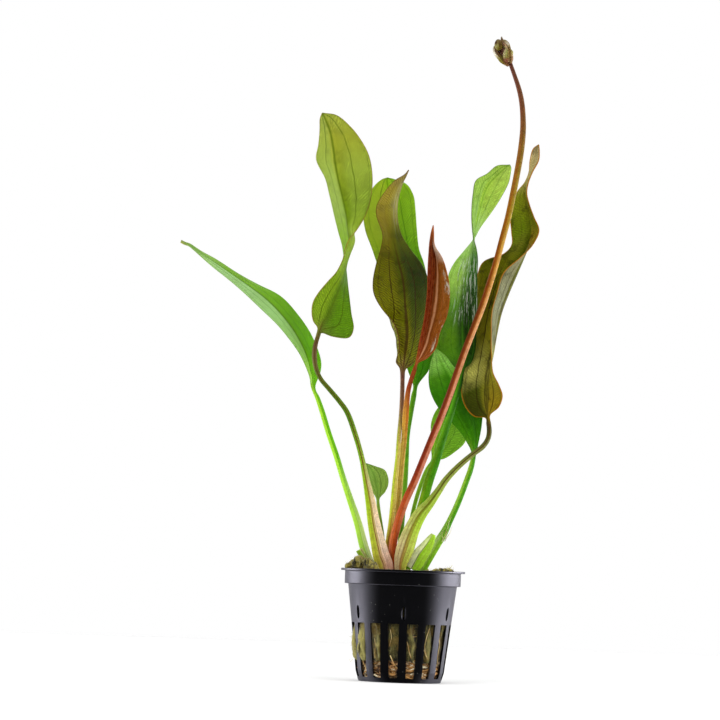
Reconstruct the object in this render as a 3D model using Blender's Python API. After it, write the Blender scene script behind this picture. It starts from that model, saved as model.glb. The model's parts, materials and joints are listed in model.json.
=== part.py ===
"""Potted echinodorus: a young sword plant in a slotted plastic pot.

Lengths below are millimetres. The origin is the middle of the pot's foot, +Z up, and the
plant's front faces -Y. Leaves are given by how they show from the front: x and z on the upright
plane through the pot's axis, and the depth behind that plane along the line of sight.
"""
import bpy
import bmesh
import numpy as np
from math import cos, pi, radians, sin, sqrt

MM = 0.001
VIEWPOINT = np.array([-22.6, -1500.0, 50.0])

# Pot
POT_HEIGHT = 50.0
FLANGE_RADIUS = 27.8
FLANGE_THICK = 1.0
COLLAR_RADIUS = 26.0
COLLAR_FOOT = 43.2
WALL = 1.0
BODY_TOP_RADIUS = 24.4
SLOT_TOP_RADIUS = 22.3
BODY_LOW_RADIUS = 19.8
BODY_LOW = 4.5
FOOT_RADIUS = 18.4
FLOOR_THICK = 1.2
POT_SEGMENTS = 48
SLOTS = 16
FIRST_RIB_ANGLE = -88.6
SLOT_FOOT = 2.0
SLOT_TOP = 26.1
SLOT_HALF_FOOT = 1.9
SLOT_HALF_TOP = 2.65
SLITS = 6
SLIT_FOOT = 27.6
SLIT_TOP = 34.0
SLIT_HALF = 0.6
FLOOR_HOLES = 8
FLOOR_HOLE_IN = 8.0
FLOOR_HOLE_OUT = 15.0
FLOOR_HOLE_HALF = 1.6

# Filling
GAP = 0.35
ROOT_FOOT = FLOOR_THICK + GAP
ROOT_TOP = 9.0
PLUG_FOOT = ROOT_TOP + GAP
PLUG_TOP = 49.0
PLUG_DISH = 46.2
DISH_RADIUS = 15.5
PLUG_BULGE = 2.0
BULGED_SLOTS = (11, 12, 13)
LUMPS = [(-21.6, -6.5, 3.4, 5.4), (-18.0, -9.6, 3.4, 5.7), (-14.6, -12.4, 2.9, 5.4),
         (17.5, -8.0, 2.6, 2.6), (3.0, -15.5, 2.4, 1.6), (10.0, 18.0, 4.0, 2.6),
         (-9.0, 19.0, 4.5, 3.0)]
CROWN_CENTRE = (-2.4, 1.8)
CROWN_RADII = (12.2, 7.8)
CROWN_FOOT = PLUG_DISH + GAP
CROWN_TOP = 48.35

# Leaves
RING_HALF = 2  # steps from the midrib to each edge
FEW_BLADE_ROWS = 14
BLADE_THICK = 0.75
TIP_WIDTH = 0.7

COLOURS = {
    "pot": ((0.012, 0.012, 0.015), 0.45),
    "rockwool": ((0.16, 0.15, 0.05), 0.95),
    "roots": ((0.42, 0.18, 0.05), 0.7),
    "crown": ((0.35, 0.12, 0.05), 0.6),
    "green": ((0.10, 0.30, 0.02), 0.45),
    "lime": ((0.25, 0.45, 0.06), 0.45),
    "olive": ((0.14, 0.13, 0.01), 0.45),
    "grey_green": ((0.22, 0.35, 0.10), 0.5),
    "rust": ((0.26, 0.05, 0.01), 0.4),
    "stalk": ((0.30, 0.10, 0.03), 0.4),
    "bract": ((0.25, 0.25, 0.10), 0.6),
}

# Stalk rows: x, z, depth, width, thickness.
# Blade rows: left margin, midrib, right margin (each x, z, depth), and where they are not
# flat the two halves' bulges to the blade's upper face.
LEAVES = {
    "leaf_far_left": {
        "colour": "green",
        "stalk": [(-12.6, 48.8, 3.6, 3.6, 2.0), (-15.6, 54, 3.4, 4.0, 2.2), (-18.0, 60, 3.2, 4.1, 2.3),
                  (-20.9, 70, 3.2, 3.6, 2.2), (-24.6, 80, 3.4, 3.1, 2.1), (-28.3, 90, 3.6, 2.7, 2.0),
                  (-31.7, 100, 3.8, 2.6, 1.9), (-35.5, 110, 4.0, 2.5, 1.8), (-38.9, 120, 4.0, 2.4, 1.7),
                  (-41.0, 125.5, 4.0, 2.1, 1.6)],
        "blade": [((-44.1, 130.2, 3.5), (-43.3, 130.6, 4.0), (-42.2, 130.4, 4.5)),
                  ((-45.2, 135.5, 1.5), (-44.5, 136.4, 4.0), (-40.3, 137.8, 8.0)),
                  ((-49.2, 143.6, -1.5), (-47.0, 145.0, 3.5), (-41.0, 145.0, 10.0)),
                  ((-54.6, 150.9, -4.0), (-51.9, 154.1, 3.0), (-45.3, 155.0, 11.5)),
                  ((-61.0, 158.6, -5.5), (-57.6, 161.5, 2.0), (-51.8, 163.6, 10.5)),
                  ((-68.4, 165.6, -5.5), (-65.0, 168.8, 1.0), (-59.6, 171.3, 8.5)),
                  ((-76.5, 172.4, -5.5), (-73.5, 174.9, 0.0), (-70.0, 176.5, 6.0)),
                  ((-84.5, 179.0, -5.0), (-82.0, 180.2, -1.0), (-79.8, 180.8, 3.0)),
                  ((-91.4, 184.6, -4.5), (-90.3, 186.0, -2.0), (-89.5, 186.4, 0.5)),
                  ((-98.7, 189.4, -4.0), (-98.2, 190.2, -3.0), (-97.7, 191.0, -2.0))],
        "tip": (-105.6, 194.4, -4.0)},
    "leaf_tall_left": {
        "colour": "lime",
        "stalk": [(-7.8, 48.9, -4.2, 7.4, 3.2), (-8.5, 52.3, -4.3, 7.6, 3.4), (-10.1, 56.1, -4.6, 7.5, 3.3),
                  (-11.4, 61, -5.0, 6.8, 3.2), (-13.7, 70, -5.8, 5.7, 2.9), (-15.7, 80, -6.8, 4.5, 2.6),
                  (-18.0, 90, -7.8, 3.1, 2.2), (-20.4, 100, -8.8, 2.4, 2.0), (-23.6, 110, -9.8, 2.4, 2.0),
                  (-27.6, 119.8, -10.8, 2.3, 2.0),
                  (-31.2, 124.6, -11.3, 2.2, 2.0), (-35.6, 129.5, -11.8, 2.1, 1.9),
                  (-40.2, 134.7, -12.2, 2.0, 1.9), (-42.4, 139.8, -12.4, 2.1, 1.9),
                  (-43.2, 145, -12.4, 2.2, 1.9), (-42.8, 150, -12.0, 2.1, 1.8),
                  (-41.8, 153.9, -11.4, 2.0, 1.6)],
        "blade": [((-42.3, 157.2, -10.5), (-40.9, 156.8, -10.5), (-40.1, 155.0, -10.5)),
                  ((-44.3, 160.2, -11.0), (-39.4, 160.4, -10.5), (-35.1, 153.5, -11.5)),
                  ((-45.2, 164.5, -12.0), (-37.6, 163.4, -11.0), (-28.0, 153.3, -13.5)),
                  ((-44.8, 168.8, -13.0), (-36.2, 167.0, -11.5), (-25.9, 157.4, -13.5)),
                  ((-42.5, 173.4, -14.5), (-34.6, 171.0, -12.0), (-27.3, 164.0, -11.0)),
                  ((-38.6, 178.6, -17.0), (-33.1, 175.2, -12.0), (-28.5, 170.5, -7.0)),
                  ((-34.8, 183.1, -20.0), (-31.6, 179.6, -12.0), (-29.6, 176.8, -3.5)),
                  ((-32.0, 188.5, -22.0), (-30.4, 184.6, -12.0), (-30.4, 183.4, -1.0)),
                  ((-30.9, 193.2, -22.5), (-29.3, 190.0, -11.5), (-31.3, 189.4, 0.0), (1.0, 0.0)),
                  ((-29.3, 197.7, -22.0), (-28.9, 195.8, -11.5), (-32.2, 195.0, -0.5), (2.2, 0.0)),
                  ((-25.9, 202.2, -19.5), (-29.7, 202.0, -11.5), (-34.2, 201.0, -2.0)),
                  ((-22.2, 209.3, -15.5), (-30.8, 208.6, -12.0), (-36.5, 208.2, -3.5)),
                  ((-20.0, 218.2, -12.5), (-33.0, 217.0, -13.0), (-39.1, 217.4, -4.5)),
                  ((-19.8, 226.8, -11.0), (-35.2, 224.8, -13.5), (-41.2, 225.0, -6.0)),
                  ((-21.6, 236.0, -10.5), (-37.0, 232.8, -14.0), (-45.6, 233.4, -8.0)),
                  ((-25.2, 242.8, -11.0), (-38.2, 240.2, -14.0), (-45.1, 240.2, -9.5)),
                  ((-30.4, 249.0, -12.0), (-39.8, 246.8, -14.0), (-44.7, 247.4, -11.5)),
                  ((-37.0, 254.0, -13.0), (-41.8, 251.4, -14.0), (-44.6, 252.0, -13.0))],
        "tip": (-43.5, 254.8, -14.0)},
    "leaf_small": {
        "colour": "grey_green",
        "stalk": [(-8.9, 48.8, 6.6, 1.3, 1.1), (-9.0, 60, 6.4, 1.3, 1.1), (-9.7, 66, 6.2, 1.3, 1.1),
                  (-10.9, 72, 6.0, 1.4, 1.1), (-12.0, 77.5, 6.0, 1.6, 1.1)],
        "blade": [((-13.3, 81.6, 6.0), (-12.4, 81.6, 6.0), (-11.5, 81.7, 6.0)),
                  ((-14.9, 84.2, 6.0), (-12.7, 84.5, 6.5), (-9.2, 84.6, 6.0)),
                  ((-17.2, 87.2, 6.0), (-13.4, 88.0, 7.0), (-7.9, 88.3, 6.0)),
                  ((-18.8, 90.8, 6.5), (-14.4, 91.4, 7.5), (-8.3, 91.8, 6.5)),
                  ((-19.4, 94.0, 7.2), (-15.6, 94.0, 8.0), (-10.0, 94.6, 7.2)),
                  ((-19.3, 96.0, 8.0), (-16.9, 95.8, 8.2), (-13.6, 95.9, 8.0))],
        "tip": (-18.2, 97.2, 8.3)},
    "leaf_centre": {
        "colour": "olive",
        "stalk": [(-7.8, 48.8, 3.4, 2.4, 2.0), (-7.5, 56, 3.2, 2.5, 2.0), (-7.1, 62, 2.8, 2.6, 2.0),
                  (-6.1, 70, 1.8, 2.7, 2.0), (-5.4, 80, 0.0, 2.7, 1.9), (-4.9, 90, -2.0, 2.4, 1.8),
                  (-4.2, 100, -4.0, 2.1, 1.8), (-3.9, 110, -5.6, 1.9, 1.7), (-3.3, 120, -6.6, 1.9, 1.7),
                  (-3.1, 130, -7.4, 2.0, 1.7), (-3.2, 136, -7.8, 2.0, 1.6)],
        "blade": [((-4.7, 140.3, -8.0), (-3.2, 140.4, -8.0), (-1.8, 140.0, -8.0)),
                  ((-6.6, 143.4, -10.5), (-2.8, 144.6, -8.5), (1.2, 142.2, -7.0)),
                  ((-5.2, 149.0, -13.0), (-1.9, 150.0, -9.0), (3.6, 148.0, -6.0), (-3.2, 0.0)),
                  ((-5.7, 155.0, -14.0), (-1.5, 156.0, -9.5), (5.6, 155.0, -5.5), (-4.2, 0.0)),
                  ((-7.6, 160.8, -14.5), (-2.0, 162.0, -10.0), (7.1, 162.0, -5.0), (-6.4, 0.0)),
                  ((-13.2, 166.8, -14.0), (-3.0, 168.4, -10.5), (8.0, 169.5, -5.0), (-3.0, 0.0)),
                  ((-17.4, 173.4, -12.5), (-3.8, 175.5, -11.0), (8.0, 177.0, -5.0)),
                  ((-18.1, 179.4, -11.5), (-4.9, 182.0, -12.0), (6.3, 183.0, -6.0)),
                  ((-16.9, 187.2, -12.0), (-6.9, 189.0, -13.0), (3.2, 188.6, -7.5)),
                  ((-15.0, 194.5, -15.0), (-8.8, 196.0, -14.0), (-1.9, 194.4, -9.5), (-0.5, 0.0)),
                  ((-14.4, 200.5, -18.5), (-9.8, 202.0, -15.0), (-6.3, 200.6, -11.0), (-0.9, 0.0)),
                  ((-17.6, 208.6, -20.0), (-10.6, 209.0, -16.0), (-8.1, 208.0, -11.0), (-0.5, 0.0)),
                  ((-17.7, 213.8, -20.0), (-10.6, 215.0, -17.0), (-8.1, 214.8, -12.5)),
                  ((-13.7, 221.0, -20.0), (-9.0, 221.3, -18.0), (-7.0, 220.2, -15.5)),
                  ((-9.6, 225.5, -20.0), (-7.2, 225.0, -19.0), (-5.8, 224.4, -17.5)),
                  ((-5.6, 228.1, -20.0), (-5.1, 227.5, -19.8), (-4.6, 227.0, -19.4))],
        "tip": (-3.6, 230.2, -20.4)},
    "leaf_young_red": {
        "colour": "rust",
        "stalk": [(-4.2, 48.8, 5.6, 2.3, 1.9), (-4.6, 58, 5.2, 2.4, 1.9), (-4.2, 66, 4.6, 2.6, 1.9),
                  (-3.5, 74, 3.8, 2.8, 1.9), (-2.8, 82, 2.6, 2.8, 1.9), (-2.3, 90, 1.2, 2.7, 1.8),
                  (-1.7, 100, -1.6, 2.5, 1.8), (-1.3, 110, -5.4, 2.3, 1.7), (-1.0, 120, -9.2, 2.2, 1.7),
                  (-0.5, 130, -11.6, 2.2, 1.6), (0.6, 135, -12.4, 2.0, 1.6), (2.0, 139.6, -12.8, 1.9, 1.5)],
        "blade": [((2.1, 142.8, -13.2), (2.9, 143.0, -13.0), (3.7, 142.9, -13.2)),
                  ((2.9, 146.6, -14.2), (4.3, 146.4, -12.8), (7.6, 145.2, -14.2)),
                  ((3.5, 151.0, -15.0), (6.0, 151.0, -12.4), (11.4, 150.0, -15.2)),
                  ((4.4, 157.5, -15.6), (7.6, 157.5, -12.0), (13.2, 157.0, -16.2)),
                  ((5.2, 164.0, -16.0), (8.8, 164.0, -11.6), (16.0, 164.0, -16.6)),
                  ((5.9, 171.0, -16.0), (9.7, 171.0, -11.4), (17.0, 171.0, -17.0)),
                  ((6.4, 178.0, -16.0), (10.2, 178.0, -11.4), (16.6, 178.0, -17.0)),
                  ((6.4, 185.0, -16.0), (10.4, 185.0, -11.8), (14.9, 185.0, -16.6)),
                  ((6.5, 191.0, -15.8), (10.0, 190.6, -12.4), (12.8, 190.8, -16.0)),
                  ((6.7, 197.0, -15.4), (8.4, 196.6, -13.4), (9.3, 196.6, -15.2)),
                  ((7.3, 202.0, -15.0), (8.1, 202.0, -14.2), (8.8, 202.0, -14.8))],
        "tip": (8.3, 205.5, -14.8)},
    "leaf_back": {
        "colour": "green",
        "stalk": [(-1.2, 48.8, 7.6, 2.6, 2.2), (-1.5, 60, 8.4, 2.6, 2.2), (-1.4, 70, 9.2, 2.6, 2.2),
                  (-0.9, 80, 10.2, 2.5, 2.1), (-0.5, 90, 11.4, 2.5, 2.0), (-0.3, 100, 12.8, 2.4, 2.0),
                  (-0.2, 110, 14.2, 2.3, 1.9), (1.0, 120, 15.8, 2.3, 1.8), (2.1, 128, 17.2, 2.4, 1.8)],
        "blade": [((1.7, 132.6, 18.0), (2.9, 133.0, 18.0), (4.0, 133.2, 18.0)),
                  ((-0.9, 139.0, 18.0), (3.4, 139.6, 19.5), (8.4, 139.8, 18.0)),
                  ((-3.5, 146.0, 18.0), (3.4, 148.0, 21.0), (11.0, 147.5, 18.5)),
                  ((-6.8, 154.0, 18.5), (2.6, 157.0, 22.5), (11.0, 158.0, 19.0)),
                  ((-9.5, 163.0, 19.5), (1.2, 166.5, 24.0), (9.4, 168.0, 20.5)),
                  ((-12.5, 173.5, 21.0), (-0.6, 176.0, 25.5), (7.4, 177.5, 22.0)),
                  ((-15.3, 184.0, 22.5), (-3.0, 186.0, 27.0), (5.0, 187.5, 23.5)),
                  ((-19.0, 193.6, 24.0), (-5.9, 196.0, 28.0), (2.1, 195.0, 25.0)),
                  ((-22.4, 202.0, 25.5), (-8.5, 204.5, 29.0), (0.9, 204.0, 26.5)),
                  ((-23.4, 210.0, 27.0), (-10.7, 212.0, 30.0), (0.1, 212.3, 28.0)),
                  ((-21.6, 217.6, 29.0), (-12.1, 218.0, 31.0), (-1.1, 218.8, 30.0)),
                  ((-18.7, 222.7, 31.0), (-12.9, 222.5, 32.0), (-4.3, 223.7, 31.5)),
                  ((-15.5, 225.6, 32.5), (-13.2, 225.2, 33.0), (-9.4, 225.7, 33.0))],
        "tip": (-13.0, 226.4, 33.5)},
    "leaf_right_twisted": {
        "colour": "lime",
        "stalk": [(1.2, 48.8, 3.4, 4.0, 2.2), (2.0, 56, 3.2, 4.2, 2.3), (3.6, 64, 2.6, 4.3, 2.3),
                  (5.6, 72, 1.8, 4.3, 2.3), (7.8, 80, 1.0, 4.2, 2.2), (10.2, 90, 0.4, 4.1, 2.1),
                  (13.3, 100, 0.4, 3.7, 2.0), (16.0, 110, 1.0, 3.3, 2.0), (18.9, 120, 2.0, 2.9, 1.9),
                  (21.6, 130, 3.6, 2.5, 1.8), (22.9, 135.5, 4.8, 2.2, 1.6)],
        "blade": [((22.8, 141.2, 6.5), (23.8, 141.0, 6.0), (24.8, 141.2, 6.0)),
                  ((18.3, 142.0, 11.0), (23.8, 144.5, 7.0), (27.4, 143.8, 7.5)),
                  ((13.0, 146.6, 15.0), (23.6, 149.0, 7.5), (29.0, 149.0, 8.5)),
                  ((11.8, 153.4, 15.0), (23.1, 156.0, 6.0), (29.4, 156.4, 6.5)),
                  ((13.8, 162.8, 12.0), (22.8, 164.4, 4.0), (29.5, 165.4, 3.0)),
                  ((16.4, 173.2, 9.0), (23.1, 173.2, 2.0), (29.3, 174.8, 0.0)),
                  ((15.7, 182.6, 6.0), (24.0, 181.8, 0.0), (29.2, 183.2, -3.0)),
                  ((18.2, 189.2, 5.0), (25.2, 189.2, -1.0), (29.3, 189.6, -6.0)),
                  ((22.6, 194.8, 6.0), (26.2, 195.4, -1.0), (28.2, 195.0, -8.0)),
                  ((26.7, 199.8, 7.5), (26.7, 200.2, 0.0), (26.5, 200.0, -8.0)),
                  ((29.6, 205.0, 7.5), (27.2, 205.0, 0.5), (25.7, 205.0, -7.0)),
                  ((34.2, 211.8, 6.5), (28.6, 212.4, 1.0), (25.3, 212.0, -5.0)),
                  ((38.8, 219.6, 5.0), (30.4, 220.2, 1.0), (25.6, 220.0, -3.0)),
                  ((41.8, 226.0, 3.5), (32.8, 225.2, 0.5), (26.8, 226.6, -2.0)),
                  ((42.6, 230.4, 1.5), (35.8, 228.6, 0.0), (31.8, 229.9, -1.0)),
                  ((42.7, 232.8, -0.5), (38.8, 231.6, -1.0), (36.2, 233.6, -1.0))],
        "tip": (41.9, 234.2, -2.0)},
    "leaf_right_broad": {
        "colour": "green",
        "stalk": [(7.9, 48.8, 5.0, 3.4, 2.0), (9.2, 51.4, 5.1, 3.6, 2.2), (12.2, 57.4, 5.6, 4.0, 2.3),
                  (15.0, 62.6, 6.2, 4.0, 2.2), (17.6, 67, 6.8, 3.6, 2.1), (19.9, 72, 7.6, 2.9, 1.9),
                  (23.3, 80, 9.0, 2.7, 1.8), (26.8, 90, 10.8, 2.6, 1.7), (29.0, 97, 12.0, 2.5, 1.6)],
        "blade": [((28.8, 103.6, 13.0), (30.0, 103.6, 13.0), (31.2, 103.8, 13.0)),
                  ((26.4, 108.4, 13.5), (29.5, 108.6, 12.5), (32.2, 109.6, 13.0)),
                  ((23.0, 113.2, 13.5), (28.0, 114.0, 11.5), (33.1, 116.6, 12.5)),
                  ((18.8, 117.4, 13.0), (25.6, 120.0, 10.0), (33.0, 123.0, 12.5)),
                  ((13.4, 123.0, 12.0), (22.6, 126.4, 8.5), (30.6, 129.4, 12.0)),
                  ((9.6, 130.0, 10.0), (19.4, 132.8, 7.0), (26.4, 135.0, 11.0)),
                  ((8.5, 136.8, 8.0), (16.4, 138.8, 6.0), (22.6, 139.2, 9.0)),
                  ((9.1, 143.2, 6.5), (13.9, 143.8, 5.5), (19.3, 142.6, 6.5)),
                  ((10.2, 147.4, 5.5), (12.3, 147.4, 5.0), (15.9, 146.8, 5.5))],
        "tip": (11.2, 150.1, 5.0)},
    "leaf_low_back": {
        "colour": "grey_green",
        "stalk": [(2.2, 48.8, 7.4, 1.9, 1.6), (2.0, 60, 8.6, 1.9, 1.6), (2.6, 70, 10.2, 1.9, 1.5),
                  (4.6, 81, 13.0, 1.9, 1.5), (6.9, 89, 16.0, 2.0, 1.4), (9.4, 95.5, 19.0, 2.0, 1.3)],
        "blade": [((10.9, 99.9, 21.0), (11.6, 99.6, 21.0), (12.4, 99.2, 21.0)),
                  ((10.8, 104.2, 21.0), (13.2, 103.0, 22.0), (16.8, 100.4, 21.5)),
                  ((10.6, 110.0, 22.0), (14.8, 107.5, 23.5), (21.5, 103.6, 22.5)),
                  ((10.4, 116.0, 23.0), (16.4, 112.5, 25.0), (25.8, 108.0, 23.5)),
                  ((11.6, 120.6, 24.5), (17.8, 118.0, 26.0), (27.0, 114.0, 24.5)),
                  ((13.8, 124.2, 26.0), (18.9, 123.0, 27.0), (25.8, 120.0, 26.0)),
                  ((16.3, 128.0, 27.0), (19.7, 127.5, 27.5), (23.6, 125.8, 27.0))],
        "tip": (20.2, 131.5, 28.0)},
    "leaf_right_olive": {
        "colour": "olive",
        "stalk": [(-1.2, 48.9, -4.4, 5.0, 3.0), (-1.3, 52, -4.5, 5.6, 3.2), (-0.6, 55.6, -4.6, 7.0, 3.3),
                  (0.6, 59.6, -4.8, 7.9, 3.4), (2.0, 64.5, -5.1, 7.4, 3.3), (4.1, 70, -5.5, 6.7, 3.1),
                  (6.9, 75.3, -6.0, 5.9, 2.8), (11.0, 80.5, -6.8, 4.4, 2.5), (14.7, 86, -7.4, 3.4, 2.3),
                  (17.7, 90.8, -7.8, 3.0, 2.2), (21.9, 95.8, -7.7, 2.7, 2.1), (26.4, 100.2, -7.0, 2.5, 2.0),
                  (30.4, 103.6, -5.6, 2.4, 2.0), (33.9, 106.5, -3.8, 2.4, 1.9), (36.0, 109.8, -1.6, 2.3, 1.9),
                  (36.6, 113.2, 0.6, 2.3, 1.8), (36.2, 116.8, 2.6, 2.2, 1.6)],
        "blade": [((34.6, 119.3, 4.0), (35.7, 120.2, 4.0), (36.8, 120.6, 4.0)),
                  ((29.4, 119.9, 4.0), (35.0, 125.0, 4.0), (40.6, 124.4, 2.5)),
                  ((25.2, 124.4, 4.0), (34.9, 130.0, 4.0), (42.1, 129.3, 0.5)),
                  ((23.3, 131.0, 5.0), (35.2, 135.6, 4.5), (40.4, 133.8, -1.0)),
                  ((24.5, 138.5, 8.0), (35.9, 141.4, 6.0), (37.2, 139.6, -2.0)),
                  ((25.5, 147.0, 12.5), (37.1, 148.4, 8.0), (36.4, 147.4, -1.0)),
                  ((26.5, 157.0, 16.0), (38.3, 157.2, 10.0), (36.0, 156.4, 1.0)),
                  ((27.3, 167.0, 18.0), (40.1, 167.0, 11.5), (35.8, 167.0, 2.5)),
                  ((28.2, 176.5, 18.5), (43.2, 176.2, 12.0), (38.2, 176.6, 3.5)),
                  ((28.9, 184.5, 17.5), (46.7, 185.0, 11.5), (41.0, 185.0, 4.0)),
                  ((31.8, 190.1, 15.0), (50.0, 193.4, 10.5), (47.5, 191.5, 4.0)),
                  ((39.6, 193.2, 11.5), (51.6, 199.3, 9.5), (53.4, 198.0, 4.5)),
                  ((43.8, 198.0, 9.5), (51.9, 205.0, 8.0), (56.5, 204.8, 5.0)),
                  ((43.5, 204.0, 9.0), (51.2, 211.0, 7.0), (53.8, 210.8, 5.0)),
                  ((42.9, 211.0, 8.5), (50.2, 217.0, 6.5), (51.6, 216.2, 4.5)),
                  ((45.2, 221.2, 8.0), (49.4, 222.4, 6.0), (50.1, 221.6, 4.0)),
                  ((49.0, 226.4, 8.0), (50.0, 226.8, 6.0), (50.6, 226.4, 4.0)),
                  ((50.9, 231.2, 8.0), (51.3, 231.4, 6.0), (52.2, 231.2, 4.0)),
                  ((50.9, 236.6, 7.0), (52.9, 236.6, 6.0), (55.0, 236.4, 5.0)),
                  ((52.1, 241.8, 6.2), (53.9, 241.2, 6.0), (55.3, 240.9, 5.6))],
        "tip": (54.7, 243.8, 6.0)},
}

STEMS = {
    "cut_stub_left": ("green", [(-14.0, 49.2, -0.2, 2.8, 2.0), (-16.0, 52.2, -0.2, 3.2, 2.0),
                                (-17.8, 55.0, -0.2, 3.3, 2.0), (-20.0, 58.4, -0.2, 3.3, 1.8)]),
    "cut_stub_right": ("green", [(4.0, 50.3, -0.4, 5.8, 1.8), (5.3, 52.6, -0.4, 6.6, 2.0),
                                 (7.4, 56.8, -0.4, 7.0, 2.2), (9.3, 59.5, -0.4, 6.2, 2.2),
                                 (11.0, 62.2, -0.4, 5.0, 2.2), (12.4, 64.9, -0.4, 3.4, 2.0),
                                 (13.1, 66.3, -0.4, 2.2, 1.6)]),
    "flower_stalk": ("stalk", [(-4.2, 48.8, 1.0, 3.4, 3.4), (-5.0, 60, 0.0, 3.6, 3.4),
                               (-3.3, 70, -1.4, 3.6, 3.4), (-0.3, 80, -2.8, 3.4, 3.3),
                               (3.8, 90, -4.3, 3.3, 3.2), (7.5, 100, -5.4, 3.2, 3.2),
                               (11.2, 110, -6.2, 3.2, 3.2), (15.0, 120, -6.9, 3.2, 3.2),
                               (18.4, 130, -7.4, 3.2, 3.2), (21.5, 140, -7.8, 3.2, 3.2),
                               (24.7, 150, -8.2, 3.1, 3.1), (28.2, 160, -8.6, 3.1, 3.1),
                               (31.7, 170, -8.9, 3.1, 3.1), (34.6, 180, -9.2, 3.0, 3.0),
                               (37.3, 190, -9.4, 2.9, 2.9), (39.6, 200, -9.6, 2.9, 2.9),
                               (41.9, 210, -9.7, 2.9, 2.9), (43.7, 220, -9.8, 2.9, 2.9),
                               (45.3, 230, -9.9, 2.9, 2.9), (46.7, 240, -10.0, 2.9, 2.9),
                               (47.4, 250, -10.0, 2.7, 2.7), (47.2, 256, -10.0, 2.5, 2.5),
                               (46.7, 261, -10.0, 2.4, 2.4), (45.8, 265.8, -10.0, 2.3, 2.3),
                               (44.5, 270.2, -10.0, 2.1, 2.1), (42.8, 274.8, -10.0, 1.9, 1.9),
                               (41.1, 279.0, -10.0, 1.8, 1.8)]),
    "flower_bud": ("bract", [(40.9, 279.5, -10.0, 1.7, 1.7), (40.1, 281.0, -10.0, 3.4, 3.4),
                             (39.1, 282.8, -10.0, 5.6, 5.6), (37.9, 285.0, -10.0, 6.7, 6.7),
                             (36.8, 287.2, -10.0, 6.2, 6.2), (35.9, 289.4, -10.0, 4.0, 4.0),
                             (35.0, 291.6, -10.0, 0.6, 0.6)]),
}
BUD_FOOT = (40.6, 279.9, -10.0)
BUD_HEAD = (34.9, 291.1, -10.0)
BRACTS = 5
BRACT_HALF_ANGLE = 31.0
BRACT_THICK = 0.55
# Along the bud's length: distance from the axis, and how much of the full angle is filled
BRACT_ROWS = [(0.02, 1.9, 0.6), (0.15, 3.2, 0.95), (0.35, 4.1, 1.0), (0.55, 4.3, 0.9), (0.78, 3.7, 0.62)]
BRACT_TIP = (1.02, 2.5)


def clear_scene():
    for item in list(bpy.data.objects):
        bpy.data.objects.remove(item, do_unlink=True)


def surface(key):
    """Plain material for one kind of piece, made once."""
    found = bpy.data.materials.get(key)
    if found:
        return found
    colour, roughness = COLOURS[key]
    mat = bpy.data.materials.new(key)
    mat.use_nodes = True
    shader = mat.node_tree.nodes["Principled BSDF"]
    shader.inputs["Base Color"].default_value = (*colour, 1.0)
    shader.inputs["Roughness"].default_value = roughness
    shader.inputs["Metallic"].default_value = 0.0
    mat.diffuse_color = (*colour, 1.0)
    return mat


def add_solid(name, points, faces, key, smooth=True):
    """A closed solid from points in millimetres, its faces turned outward."""
    mesh = bpy.data.meshes.new(name)
    mesh.from_pydata([tuple(MM * float(c) for c in p) for p in points], [], faces)
    work = bmesh.new()
    work.from_mesh(mesh)
    bmesh.ops.triangulate(work, faces=work.faces, quad_method="SHORT_EDGE")
    bmesh.ops.recalc_face_normals(work, faces=work.faces)
    work.to_mesh(mesh)
    work.free()
    if smooth:
        mesh.shade_smooth()
        mesh.set_sharp_from_angle(angle=radians(40))
    mesh.materials.append(surface(key))
    item = bpy.data.objects.new(name, mesh)
    bpy.context.scene.collection.objects.link(item)
    return item


def seen(x, z, depth):
    """The point that shows at (x, z) from the front and lies this far behind the plane y = 0."""
    flat = np.array([x, 0.0, z])
    return VIEWPOINT + (flat - VIEWPOINT) * (1.0 - depth / VIEWPOINT[1])


def unit(vector):
    return vector / (np.linalg.norm(vector) or 1.0)


def stalk_rows(stalk):
    """Rows of left edge, middle, right edge, thickness and two bulges along a leaf stalk."""
    middles = [seen(x, z, d) for x, z, d, _, _ in stalk]
    rows = []
    for i, (_, _, _, width, thick) in enumerate(stalk):
        along = middles[min(i + 1, len(stalk) - 1)] - middles[max(i - 1, 0)]
        side = unit(np.cross(along, (0.0, 1.0, 0.0))) * width / 2
        rows.append(np.concatenate([middles[i] + side, middles[i], middles[i] - side, [thick, 0, 0]]))
    return rows


def blade_rows(leaf):
    """Rows of the same kind for a blade, which thins out from its stalk."""
    rows = []
    stalk_thick = leaf["stalk"][-1][4]
    for k, row in enumerate(leaf["blade"]):
        left, middle, right = (seen(*p) for p in row[:3])
        bulges = row[3] if len(row) > 3 else (0.0, 0.0)
        thick = BLADE_THICK + (stalk_thick - BLADE_THICK) * 0.45 ** (k + 1)
        rows.append(np.concatenate([left, middle, right, [thick, *bulges]]))
    tip = seen(*leaf["tip"])
    side = unit(rows[-1][0:3] - rows[-1][6:9]) * TIP_WIDTH / 2
    rows.append(np.concatenate([tip + side, tip, tip - side, [BLADE_THICK * 0.8, 0, 0]]))
    return rows


def smooth_rows(rows, first):
    """Rows of a smooth curve through the given ones, with one more after each from the first on."""
    moves = np.diff(rows[:, :9], axis=0).reshape(-1, 3, 3)
    knots = np.concatenate([[0], np.cumsum(np.sqrt(np.linalg.norm(moves, axis=2).mean(axis=1)))])
    slopes = np.gradient(rows, knots, axis=0)
    result = []
    for i in range(len(rows) - 1):
        span = knots[i + 1] - knots[i]
        steps = 2 if i >= first else 1
        for t in np.arange(steps) / steps:
            a = (1 + 2 * t) * (1 - t) ** 2
            b = t * (1 - t) ** 2 * span
            c = t * t * (3 - 2 * t)
            d = t * t * (t - 1) * span
            result.append(a * rows[i] + b * slopes[i] + c * rows[i + 1] + d * slopes[i + 1])
    result.append(rows[-1])
    return np.array(result)


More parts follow.
